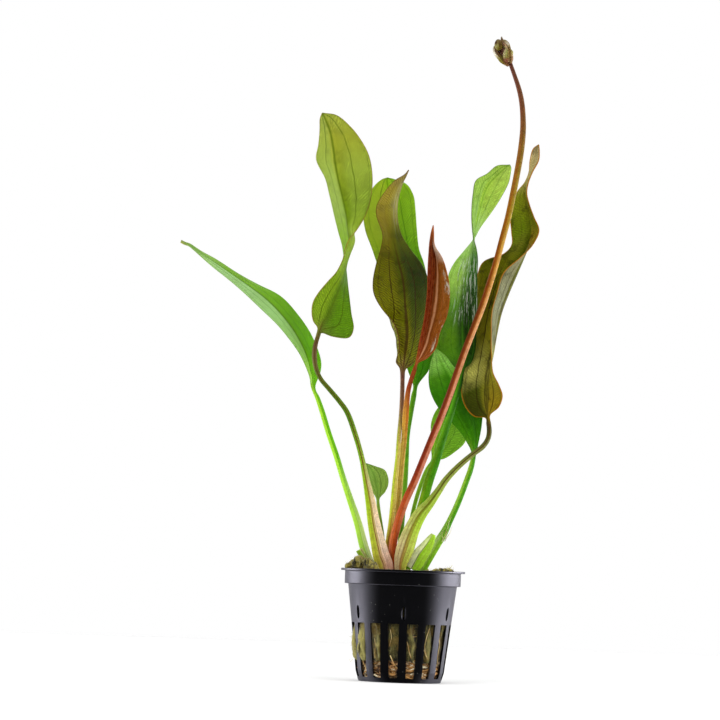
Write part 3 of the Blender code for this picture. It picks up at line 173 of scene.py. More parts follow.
# Stalk rows: x, z, depth, width, thickness.
# Blade rows: left margin, midrib, right margin (each x, z, depth), and where they are not
# flat the two halves' bulges to the blade's upper face.
LEAVES = {
    "leaf_far_left": {
        "stalk": [
            (-12.6, 48.8, 3.6, 3.6, 2), (-15.6, 54, 3.4, 4, 2.2), (-18, 60, 3.2, 4.1, 2.3),
            (-20.9, 70, 3.2, 3.6, 2.2), (-24.6, 80, 3.4, 3.1, 2.1), (-28.3, 90, 3.6, 2.7, 2),
            (-31.7, 100, 3.8, 2.6, 1.9), (-35.5, 110, 4, 2.5, 1.8), (-38.9, 120, 4, 2.4, 1.7),
            (-41, 125.5, 4, 2.1, 1.6)],
        "blade": [
            ((-44.1, 130.2, 3.5), (-43.3, 130.6, 4), (-42.2, 130.4, 4.5)),
            ((-45.2, 135.5, 1.5), (-44.5, 136.4, 4), (-40.3, 137.8, 8)),
            ((-49.2, 143.6, -1.5), (-47, 145, 3.5), (-41, 145, 10)),
            ((-54.6, 150.9, -4), (-51.9, 154.1, 3), (-45.3, 155, 11.5)),
            ((-61, 158.6, -5.5), (-57.6, 161.5, 2), (-51.8, 163.6, 10.5)),
            ((-68.4, 165.6, -5.5), (-65, 168.8, 1), (-59.6, 171.3, 8.5)),
            ((-76.5, 172.4, -5.5), (-73.5, 174.9, 0), (-70, 176.5, 6)),
            ((-84.5, 178.7, -5), (-82.2, 180.6, -1), (-80.2, 181.5, 3)),
            ((-91.2, 183.8, -4.5), (-90.2, 185.6, -2), (-89.3, 186.6, 0.5)),
            ((-96.2, 187.8, -4), (-95.4, 188.7, -3), (-94.8, 189.5, -2)),
            ((-99.5, 190.5, -4), (-98.9, 191.1, -3.4), (-98.4, 191.8, -2.6)),
            ((-101.6, 192.1, -4), (-101.2, 192.7, -3.6), (-100.9, 193.4, -3.2)),
            ((-103.5, 192.7, -4), (-103.3, 193.4, -3.8), (-103.1, 194.1, -3.6))],
        "tip": (-105.2, 194.3, -4), "blunt": 0.75},
    "leaf_tall_left": {
        "stalk": [
            (-7.8, 48.9, -4.2, 7.4, 3.2), (-8.5, 52.3, -4.3, 7.6, 3.4), (-10.1, 56.1, -4.6, 7.5, 3.3),
            (-11.4, 61, -5, 6.8, 3.2), (-13.7, 70, -5.8, 5.7, 2.9), (-15.7, 80, -6.8, 4.5, 2.6),
            (-18, 90, -7.8, 3.1, 2.2), (-20.4, 100, -8.8, 2.4, 2), (-23.6, 110, -9.8, 2.4, 2),
            (-27.6, 119.8, -10.8, 2.3, 2), (-31.2, 124.6, -11.3, 2.2, 2), (-35.6, 129.5, -11.8, 2.1, 1.9),
            (-40.2, 134.7, -12.2, 2, 1.9), (-42.4, 139.8, -12.4, 2.1, 1.9), (-43.2, 145, -12.4, 2.2, 1.9),
            (-42.8, 150, -12, 2.1, 1.8), (-41.8, 153.9, -11.4, 2, 1.6)],
        "blade": [
            ((-42.3, 157.2, -10.5), (-40.9, 156.8, -10.5), (-40.1, 155, -10.5)),
            ((-44.3, 160.2, -11), (-39.4, 160.4, -10.5), (-35.1, 153.5, -11.5)),
            ((-45.2, 164.5, -12), (-37.6, 163.4, -11), (-28, 153.3, -13.5)),
            ((-44.8, 168.8, -13), (-36.2, 167, -11.5), (-25.9, 157.4, -13.5)),
            ((-42.5, 173.4, -14.5), (-34.6, 171, -12), (-27.3, 164, -11)),
            ((-38.6, 178.6, -17), (-33.1, 175.2, -12), (-28.5, 170.5, -7)),
            ((-34.8, 183.1, -20), (-31.6, 179.6, -12), (-29.6, 176.8, -3.5)),
            ((-32, 188.5, -22), (-30.4, 184.6, -12), (-30.4, 183.4, -1)),
            ((-30.9, 193.2, -22.5), (-29.3, 190, -11.5), (-31.3, 189.4, 0), (1, 0)),
            ((-29.3, 197.7, -22), (-28.9, 195.8, -11.5), (-32.2, 195, -0.5), (2.2, 0)),
            ((-25.9, 202.2, -19.5), (-29.7, 202, -11.5), (-34.2, 201, -2)),
            ((-22.2, 209.3, -15.5), (-30.8, 208.6, -12), (-36.5, 208.2, -3.5)),
            ((-20, 218.2, -12.5), (-33, 217, -13), (-39.1, 217.4, -4.5)),
            ((-19.8, 226.8, -11), (-35.2, 224.8, -13.5), (-41.2, 225, -6)),
            ((-21.6, 236, -10.5), (-37, 232.8, -14), (-45.6, 233.4, -8)),
            ((-25.2, 242.8, -11), (-38.2, 240.2, -14), (-45.1, 240.2, -9.5)),
            ((-30.4, 249, -12), (-39.8, 246.8, -14), (-44.7, 247.4, -11.5)),
            ((-37, 254, -13), (-41.8, 251.4, -14), (-44.6, 252, -13))],
        "tip": (-43.5, 254.8, -14)},
    "leaf_small": {
        "stalk": [
            (-8.9, 48.8, 6.6, 1.3, 1.1), (-9, 60, 6.4, 1.3, 1.1), (-9.7, 66, 6.2, 1.3, 1.1),
            (-10.9, 72, 6, 1.4, 1.1), (-12, 77.5, 6, 1.6, 1.1)],
        "blade": [
            ((-13.3, 81.6, 6), (-12.4, 81.6, 6), (-11.5, 81.7, 6)),
            ((-14.9, 84.2, 6), (-12.7, 84.5, 6.5), (-9.2, 84.6, 6)),
            ((-17.2, 87.2, 6), (-13.4, 88, 7), (-7.9, 88.3, 6)),
            ((-18.8, 90.8, 6.5), (-14.4, 91.4, 7.5), (-8.3, 91.8, 6.5)),
            ((-19.4, 94, 7.2), (-15.6, 94, 8), (-10, 94.6, 7.2)),
            ((-19.3, 96, 8), (-16.9, 95.8, 8.2), (-13.6, 95.9, 8))],
        "tip": (-18.2, 97.2, 8.3)},
    "leaf_centre": {
        "stalk": [
            (-7.8, 48.8, 3.4, 2.4, 2), (-7.5, 56, 3.2, 2.5, 2), (-7.1, 62, 2.8, 2.6, 2),
            (-6.1, 70, 1.8, 2.7, 2), (-5.4, 80, 0, 2.7, 1.9), (-4.9, 90, -2, 2.4, 1.8),
            (-4.2, 100, -4, 2.1, 1.8), (-3.9, 110, -5.6, 1.9, 1.7), (-3.3, 120, -6.6, 1.9, 1.7),
            (-3.1, 130, -7.4, 2, 1.7), (-3.2, 136, -7.8, 2, 1.6)],
        "blade": [
            ((-4.7, 140.3, -8), (-3.2, 140.4, -8), (-1.8, 140, -8)),
            ((-6.6, 143.4, -10.5), (-2.8, 144.6, -8.5), (1.2, 142.2, -7)),
            ((-5.2, 149, -13), (-1.9, 150, -9), (3.6, 148, -6), (-3.2, 0)),
            ((-5.7, 155, -14), (-1.5, 156, -9.5), (5.6, 155, -5.5), (-4.2, 0)),
            ((-7.6, 160.8, -14.5), (-2, 162, -10), (7.1, 162, -5), (-6.4, 0)),
            ((-13.2, 166.8, -14), (-3, 168.4, -10.5), (8, 169.5, -5), (-3, 0)),
            ((-17.4, 173.4, -12.5), (-3.8, 175.5, -11), (8, 177, -5)),
            ((-18.1, 179.4, -11.5), (-4.9, 182, -12), (6.3, 183, -6)),
            ((-16.9, 187.2, -12), (-6.9, 189, -13), (3.2, 188.6, -7.5)),
            ((-15, 194.5, -15), (-8.8, 196, -14), (-1.9, 194.4, -9.5), (-0.5, 0)),
            ((-14.4, 200.5, -18.5), (-9.8, 202, -15), (-6.3, 200.6, -11), (-0.9, 0)),
            ((-17.6, 208.6, -20), (-10.6, 209, -16), (-8.1, 208, -11), (-0.5, 0)),
            ((-17.7, 213.8, -20), (-10.6, 215, -17), (-8.1, 214.8, -12.5)),
            ((-13.7, 221, -20), (-9, 221.3, -18), (-7, 220.2, -15.5)),
            ((-9.6, 225.5, -20), (-7.2, 225, -19), (-5.8, 224.4, -17.5)),
            ((-5.6, 228.1, -20), (-5.1, 227.5, -19.8), (-4.6, 227, -19.4))],
        "tip": (-3.6, 230.2, -20.4)},
    "leaf_young_red": {
        "stalk": [
            (-4.2, 48.8, 5.6, 2.3, 1.9), (-4.6, 58, 5.2, 2.4, 1.9), (-4.2, 66, 4.6, 2.6, 1.9),
            (-3.6, 74, 3.8, 2.8, 1.9), (-3.1, 82, 2.6, 2.9, 1.9), (-2.75, 90, 1.4, 2.75, 1.8),
            (-2.15, 100, -0.8, 2.6, 1.8), (-1.5, 110, -4.4, 2.6, 1.7), (-1.2, 120, -9.2, 2.8, 1.7),
            (-0.5, 130, -11.6, 2.2, 1.6), (0.6, 135, -12.4, 2, 1.6), (2, 139.6, -12.8, 1.9, 1.5)],
        "blade": [
            ((2.1, 142.8, -13.2), (2.9, 143, -13), (3.7, 142.9, -13.2)),
            ((2.9, 146.6, -14.2), (4.3, 146.4, -12.8), (7.6, 145.2, -14.2)),
            ((3.5, 151, -15), (6, 151, -12.4), (11.4, 150, -15.2)),
            ((4.4, 157.5, -15.6), (7.6, 157.5, -12), (13.2, 157, -16.2)),
            ((5.2, 164, -16), (8.8, 164, -11.6), (16, 164, -16.6)),
            ((5.9, 171, -16), (9.7, 171, -11.4), (17, 171, -17)),
            ((6.4, 178, -16), (10.2, 178, -11.4), (16.6, 178, -17)),
            ((6.4, 185, -16), (10.4, 185, -11.8), (14.9, 185, -16.6)),
            ((6.5, 191, -15.8), (10, 190.6, -12.4), (12.8, 190.8, -16)),
            ((6.7, 197, -15.4), (8.4, 196.6, -13.4), (9.3, 196.6, -15.2)),
            ((7.3, 202, -15), (8.1, 202, -14.2), (8.8, 202, -14.8))],
        "tip": (8.3, 205.5, -14.8)},
    "leaf_back": {
        "stalk": [
            (-1.2, 48.8, 7.6, 2.6, 2.2), (-1.5, 60, 8.4, 2.6, 2.2), (-1.4, 70, 9.2, 2.6, 2.2),
            (-0.9, 80, 10.2, 2.5, 2.1), (-0.5, 90, 11.4, 2.5, 2), (-0.3, 100, 12.8, 2.4, 2),
            (-0.2, 110, 14.2, 2.3, 1.9), (1, 120, 15.8, 2.3, 1.8), (2.1, 128, 17.2, 2.4, 1.8)],
        "blade": [
            ((1.7, 132.6, 18), (2.9, 133, 18), (4, 133.2, 18)),
            ((-0.9, 139, 18), (3.4, 139.6, 19.5), (8.4, 139.8, 18)),
            ((-3.5, 146, 18), (3.4, 148, 21), (11, 147.5, 18.5)),
            ((-6.8, 154, 18.5), (2.6, 157, 22.5), (11, 158, 19)),
            ((-9.5, 163, 19.5), (1.2, 166.5, 24), (9.4, 168, 20.5)),
            ((-12.5, 173.5, 21), (-0.6, 176, 25.5), (7.4, 177.5, 22)),
            ((-15.3, 184, 22.5), (-3, 186, 27), (5, 187.5, 23.5)),
            ((-19, 193.6, 24), (-5.9, 196, 28), (2.1, 195, 25)),
            ((-22.4, 202, 25.5), (-8.5, 204.5, 29), (0.9, 204, 26.5)),
            ((-23.4, 210, 27), (-10.7, 212, 30), (0.1, 212.3, 28)),
            ((-21.6, 217.6, 29), (-12.1, 218, 31), (-1.1, 218.8, 30)),
            ((-18.7, 222.7, 31), (-12.9, 222.5, 32), (-4.3, 223.7, 31.5)),
            ((-15.5, 225.6, 32.5), (-13.2, 225.2, 33), (-9.4, 225.7, 33))],
        "tip": (-13, 226.4, 33.5)},
    "leaf_right_twisted": {
        "stalk": [
            (1.2, 48.8, 3.4, 4, 2.2), (2, 56, 3.2, 4.2, 2.3), (3.6, 64, 2.6, 4.3, 2.3),
            (5.6, 72, 1.8, 4.3, 2.3), (7.8, 80, 1, 4.2, 2.2), (10.2, 90, 0.4, 4.1, 2.1),
            (13.3, 100, 0.4, 3.7, 2), (16, 110, 1, 3.3, 2), (18.9, 120, 2, 2.9, 1.9),
            (21.6, 130, 3.6, 2.5, 1.8), (22.9, 135.5, 4.8, 2.2, 1.6)],
        "blade": [
            ((22.8, 141.2, 6.5), (23.8, 141, 6), (24.8, 141.2, 6)),
            ((18.3, 142, 11), (23.8, 144.5, 7), (27.4, 143.8, 7.5)),
            ((12.6, 146.8, 15), (23.6, 149, 7.5), (29, 149, 8.5)),
            ((11, 153.2, 15), (23.1, 156, 6), (29.4, 156.4, 6.5)),
            ((13.8, 162.8, 12), (22.8, 164.4, 4), (29.5, 165.4, 3)),
            ((16.4, 173.2, 9), (23.1, 173.2, 2), (29.3, 174.8, 0)),
            ((15.7, 182.6, 6), (24, 181.8, 0), (29.2, 183.2, -3)),
            ((18.2, 189.2, 5), (25.2, 189.2, -1), (29.3, 189.6, -6)),
            ((22.6, 194.8, 6), (26.2, 195.4, -1), (28.2, 195, -8)),
            ((26.7, 199.8, 7.5), (26.7, 200.2, 0), (26.5, 200, -8)),
            ((29.6, 205, 7.5), (27.2, 205, 0.5), (25.7, 205, -7)),
            ((34.2, 211.8, 6.5), (28.6, 212.4, 1), (25.3, 212, -5)),
            ((38.8, 219.6, 5), (30.4, 220.2, 1), (25.6, 220, -3)),
            ((41.8, 226, 3.5), (32.8, 225.2, 0.5), (26.8, 226.6, -2)),
            ((42.6, 230.4, 1.5), (35.8, 228.6, 0), (31.8, 229.9, -1)),
            ((42.7, 232.8, -0.5), (38.8, 231.6, -1), (36.2, 233.6, -1))],
        "tip": (41.9, 234.2, -2)},
    "leaf_right_broad": {
        "stalk": [
            (7.9, 48.8, 5, 3.4, 2), (9.2, 51.4, 5.1, 3.6, 2.2), (12.2, 57.4, 5.6, 4, 2.3),
            (15, 62.6, 6.2, 4, 2.2), (17.6, 67, 6.8, 3.6, 2.1), (19.9, 72, 7.6, 2.9, 1.9),
            (23.3, 80, 9, 2.7, 1.8), (26.8, 90, 10.8, 2.6, 1.7), (29, 97, 12, 2.5, 1.6)],
        "blade": [
            ((28.8, 103.6, 13), (30, 103.6, 13), (31.2, 103.8, 13)),
            ((26.4, 108.4, 13.5), (29.5, 108.6, 12.5), (32.2, 109.6, 13)),
            ((23, 113.2, 13.5), (28, 114, 11.5), (33.1, 116.6, 12.5)),
            ((18.8, 117.4, 13), (25.6, 120, 10), (33, 123, 12.5)),
            ((13.4, 123, 12), (22.6, 126.4, 8.5), (30.6, 129.4, 12)),
            ((9.6, 130, 10), (19.4, 132.8, 7), (26.4, 135, 11)),
            ((8.5, 136.8, 8), (16.4, 138.8, 6), (22.6, 139.2, 9)),
            ((9.1, 143.2, 6.5), (13.9, 143.8, 5.5), (19.3, 142.6, 6.5)),
            ((10.2, 147.4, 5.5), (12.3, 147.4, 5), (15.9, 146.8, 5.5))],
        "tip": (11.2, 150.1, 5)},
    "leaf_low_back": {
        "stalk": [
            (2.2, 48.8, 7.4, 1.9, 1.6), (2, 60, 8.6, 1.9, 1.6), (2.6, 70, 10.2, 1.9, 1.5),
            (4.6, 81, 13, 1.9, 1.5), (6.9, 89, 16, 2, 1.4), (9.4, 95.5, 19, 2, 1.3)],
        "blade": [
            ((10.9, 99.9, 21), (11.6, 99.6, 21), (12.4, 99.2, 21)),
            ((10.8, 104.2, 21), (13.2, 103, 22), (16.8, 100.4, 21.5)),
            ((10.6, 110, 22), (14.8, 107.5, 23.5), (21.5, 103.6, 22.5)),
            ((10.4, 116, 23), (16.4, 112.5, 25), (25.8, 108, 23.5)),
            ((11.6, 120.6, 24.5), (17.8, 118, 26), (27, 114, 24.5)),
            ((13.8, 124.2, 26), (18.9, 123, 27), (25.8, 120, 26)),
            ((16.3, 128, 27), (19.7, 127.5, 27.5), (23.6, 125.8, 27))],
        "tip": (20.2, 131.5, 28)},
    "leaf_right_olive": {
        "stalk": [
            (-1.2, 48.9, -4.4, 5, 3), (-1.3, 52, -4.5, 5.6, 3.2), (-0.6, 55.6, -4.6, 7, 3.3),
            (0.6, 59.6, -4.8, 7.9, 3.4), (2, 64.5, -5.1, 7.4, 3.3), (4.1, 70, -5.5, 6.7, 3.1),
            (6.9, 75.3, -6, 5.9, 2.8), (11, 80.5, -6.8, 4.4, 2.5), (14.7, 86, -7.4, 3.4, 2.3),
            (17.7, 90.8, -7.8, 3, 2.2), (21.9, 95.8, -7.7, 2.7, 2.1), (26.4, 100.2, -7, 2.5, 2),
            (30.4, 103.6, -5.6, 2.4, 2), (33.9, 106.5, -3.8, 2.4, 1.9), (36, 109.8, -1.6, 2.3, 1.9),
            (36.6, 113.2, 0.6, 2.3, 1.8), (36.2, 116.8, 2.6, 2.2, 1.6)],
        "blade": [
            ((34.6, 119.3, 4), (35.7, 120.2, 4), (36.8, 120.6, 4)),
            ((29.4, 119.9, 4), (35, 125, 4), (40.6, 124.4, 2.5)),
            ((25.2, 124.4, 4), (34.9, 130, 4), (42.1, 129.3, 0.5)),
            ((23.3, 131, 5), (35.2, 135.6, 4.5), (40.4, 133.8, -1)),
            ((24, 138.5, 8), (35.9, 141.4, 6), (37.2, 139.6, -2)),
            ((25, 147, 12.5), (37.1, 148.4, 8), (36.4, 147.4, -1)),
            ((26.5, 157, 16), (38.3, 157.2, 10), (36, 156.4, 1)),
            ((27.3, 167, 18), (40.1, 167, 11.5), (35.8, 167, 2.5)),
            ((28.2, 176.5, 18.5), (43.2, 176.2, 12), (38.2, 176.6, 3.5)),
            ((28.9, 184.5, 17.5), (46.7, 185, 11.5), (41, 185, 4)),
            ((31.8, 190.1, 15), (50, 193.4, 10.5), (47.5, 191.5, 4)),
            ((39.6, 193.2, 11.5), (51.6, 199.3, 9.5), (53.4, 198, 4.5)),
            ((43.8, 198, 9.5), (51.9, 205, 8), (56.2, 204.8, 5)),
            ((43.5, 204, 9), (51.2, 211, 7), (53.8, 210.8, 5)),
            ((42.9, 211, 8.5), (50.2, 217, 6.5), (51.6, 216.2, 4.5)),
            ((45.2, 221.2, 8), (49.4, 222.4, 6), (50.1, 221.6, 4)),
            ((49, 226.4, 8), (50, 226.8, 6), (50.6, 226.4, 4)),
            ((50.9, 231.2, 8), (51.3, 231.4, 6), (52.2, 231.2, 4)),
            ((50.9, 236.6, 7), (52.9, 236.6, 6), (55, 236.4, 5)),
            ((52.1, 241.8, 6.2), (53.9, 241.2, 6), (55.3, 240.9, 5.6))],
        "tip": (54.7, 243.8, 6)},
}
BLADE_EDGE = 0.62
RIPPLE_LENGTH = 5.5
SWELL_LENGTH = 13.0
QUILT_HEIGHT = 0.10
GROOVE_DEPTH = 0.28
GROOVE_WIDTH = 0.8
MARGIN_ROUND = 0.35

STEMS = {
    "cut_stub_left": [
        (-14, 49.2, -0.2, 2.8, 2), (-16, 52.2, -0.2, 3.2, 2), (-17.8, 55, -0.2, 3.3, 2),
        (-20, 58.4, -0.2, 3.3, 1.8)],
    "cut_stub_right": [
        (4, 50.3, -0.4, 5.8, 1.8), (5.3, 52.6, -0.4, 6.6, 2), (7.4, 56.8, -0.4, 7, 2.2),
        (9.3, 59.5, -0.4, 6.2, 2.2), (11, 62.2, -0.4, 5, 2.2), (12.4, 64.9, -0.4, 3.4, 2),
        (13.1, 66.3, -0.4, 2.2, 1.6)],
    "flower_stalk": [
        (-4.2, 48.8, 1, 3.4, 3.4), (-5, 60, 0, 3.6, 3.4), (-3.3, 70, -1.4, 3.6, 3.4),
        (-0.3, 80, -2.8, 3.4, 3.3), (3.8, 90, -4.3, 3.3, 3.2), (7.5, 100, -5.4, 3.2, 3.2),
        (11.2, 110, -6.2, 3.2, 3.2), (15, 120, -6.9, 3.2, 3.2), (18.4, 130, -7.4, 3.2, 3.2),
        (21.5, 140, -7.8, 3.2, 3.2), (24.7, 150, -8.2, 3.1, 3.1), (28.2, 160, -8.6, 3.1, 3.1),
        (31.7, 170, -8.9, 3.1, 3.1), (34.6, 180, -9.2, 3, 3), (37.3, 190, -9.4, 2.9, 2.9),
        (39.6, 200, -9.6, 2.9, 2.9), (41.9, 210, -9.7, 2.9, 2.9), (43.7, 220, -9.8, 2.9, 2.9),
        (45.3, 230, -9.9, 2.9, 2.9), (46.7, 240, -10, 2.9, 2.9), (47.4, 250, -10, 2.7, 2.7),
        (47.2, 256, -10, 2.5, 2.5), (46.7, 261, -10, 2.4, 2.4), (45.8, 265.8, -10, 2.3, 2.3),
        (44.5, 270.2, -10, 2.1, 2.1), (42.8, 274.8, -10, 1.9, 1.9), (40.9, 279.7, -10, 1.8, 1.8)],
    "flower_bud": [
        (40.9, 279.5, -10, 1.7, 1.7), (40.2, 281, -9.9, 3, 3.2), (39.3, 282.8, -9.6, 4.4, 4.6),
        (37.8, 285, -9.4, 6.2, 5.2), (36.9, 287.2, -9.3, 6, 4.8), (36.7, 289, -9.6, 3.6, 3.2),
        (36.7, 290.3, -10.2, 1.9, 1.6), (36.5, 291.3, -10.2, 1.1, 0.9), (36.3, 292.3, -10.2, 0.5, 0.5)],
}
# Bracts round the bud: rows like a blade's, and a tip
BRACTS = {
    "bract_left": ([
        ((38.9, 279.3, -10.6), (39.7, 278.9, -11.4), (40.5, 279.2, -11)),
        ((36.1, 280.7, -11), (37.4, 280.5, -12.2), (38.8, 281.2, -12)),
        ((34.8, 282.2, -10.8), (36.2, 282.2, -12), (37.7, 282.9, -12.2)),
        ((33.3, 284, -10.4), (34.5, 283.9, -11.4), (35.8, 284.4, -12.4)),
        ((32.6, 285.5, -10.2), (33.6, 285.4, -10.6), (34.7, 286, -11.8)),
        ((32.6, 286.8, -10), (33.3, 286.9, -10.2), (34, 287.2, -10.6))], (33.1, 287.9, -10.2)),
    "bract_hood": ([
        ((34, 286.5, -11.4), (35.2, 286, -12.8), (36.6, 286.6, -12.4)),
        ((33.4, 287.4, -11.2), (35, 287, -13.2), (36.9, 287.5, -12.4)),
        ((33.3, 288.5, -10.9), (34.8, 288.2, -13), (36.8, 288.6, -12)),
        ((33.5, 289.7, -10.6), (34.8, 289.6, -12.2), (36.4, 289.8, -11.4)),
        ((34, 290.5, -10.4), (34.9, 290.6, -11.4), (36.1, 290.5, -10.9))], (34.9, 291, -10.3)),
    "bract_front": ([
        ((38.4, 281.1, -12.4), (39.3, 280.7, -12.9), (40.3, 281.2, -12.2)),
        ((37.5, 282.6, -12.9), (38.9, 282.3, -14), (40.2, 282.7, -12.8)),
        ((37.3, 284.4, -13), (38.7, 284.2, -14.3), (40.1, 284.5, -13)),
        ((37.8, 286, -12.9), (39, 285.9, -14), (39.9, 286, -12.9)),
        ((38.3, 287.3, -12.6), (38.9, 287.5, -13.3), (39.5, 287.5, -12.5)),
        ((37.9, 288.5, -12.3), (38.3, 288.7, -12.8), (38.8, 288.8, -12.1))], (37.3, 290.2, -11.4)),
    "bract_right": ([
        ((40, 280.2, -10.8), (40.8, 280.2, -10.8), (41.5, 280.6, -10.2)),
        ((40.1, 282.3, -11.6), (41.1, 282.3, -11.4), (41.9, 282.6, -10.2)),
        ((39.8, 284, -11.8), (41, 284, -11.4), (41.7, 284.2, -10.2)),
        ((39.7, 285.3, -11.8), (40.8, 285.5, -11.4), (41.8, 285.5, -10.4)),
        ((39.6, 286.4, -11.6), (40.3, 286.5, -11.2), (41, 286.4, -10.6))], (39.6, 287.3, -11)),
    "bract_back": ([
        ((37.2, 282.5, -8.6), (39.4, 282.3, -9.2), (40.9, 282.8, -8.8)),
        ((36.8, 285.5, -8.4), (39.3, 285.5, -9.4), (40.9, 285.8, -8.8)),
        ((37.6, 287.4, -9.4), (39.5, 287.6, -9.9), (40.6, 287.5, -9.2)),
        ((38.2, 288.4, -10.4), (39.4, 288.9, -10.6), (40.1, 288.9, -9.8)),
        ((37.8, 289.6, -10.6), (38.8, 290, -10.6), (39.3, 290, -10)),
        ((37, 290.4, -10.6), (37.7, 290.7, -10.5), (38.2, 290.7, -10.1))], (36.4, 290.8, -10.6)),
}
BRACT_THICK = 0.42
RECORD_SLOT = {
    "leaf_far_left": "leaf_green", "leaf_tall_left": "leaf_lime", "leaf_small": "leaf_pale",
    "leaf_centre": "leaf_olive", "leaf_young_red": "leaf_red", "leaf_back": "leaf_green",
    "leaf_right_twisted": "leaf_lime", "leaf_right_broad": "leaf_green", "leaf_low_back": "leaf_pale",
    "leaf_right_olive": "leaf_olive", "cut_stub_left": "leaf_green", "cut_stub_right": "leaf_green",
    "flower_stalk": "flower_stalk", "flower_bud": "bud"}

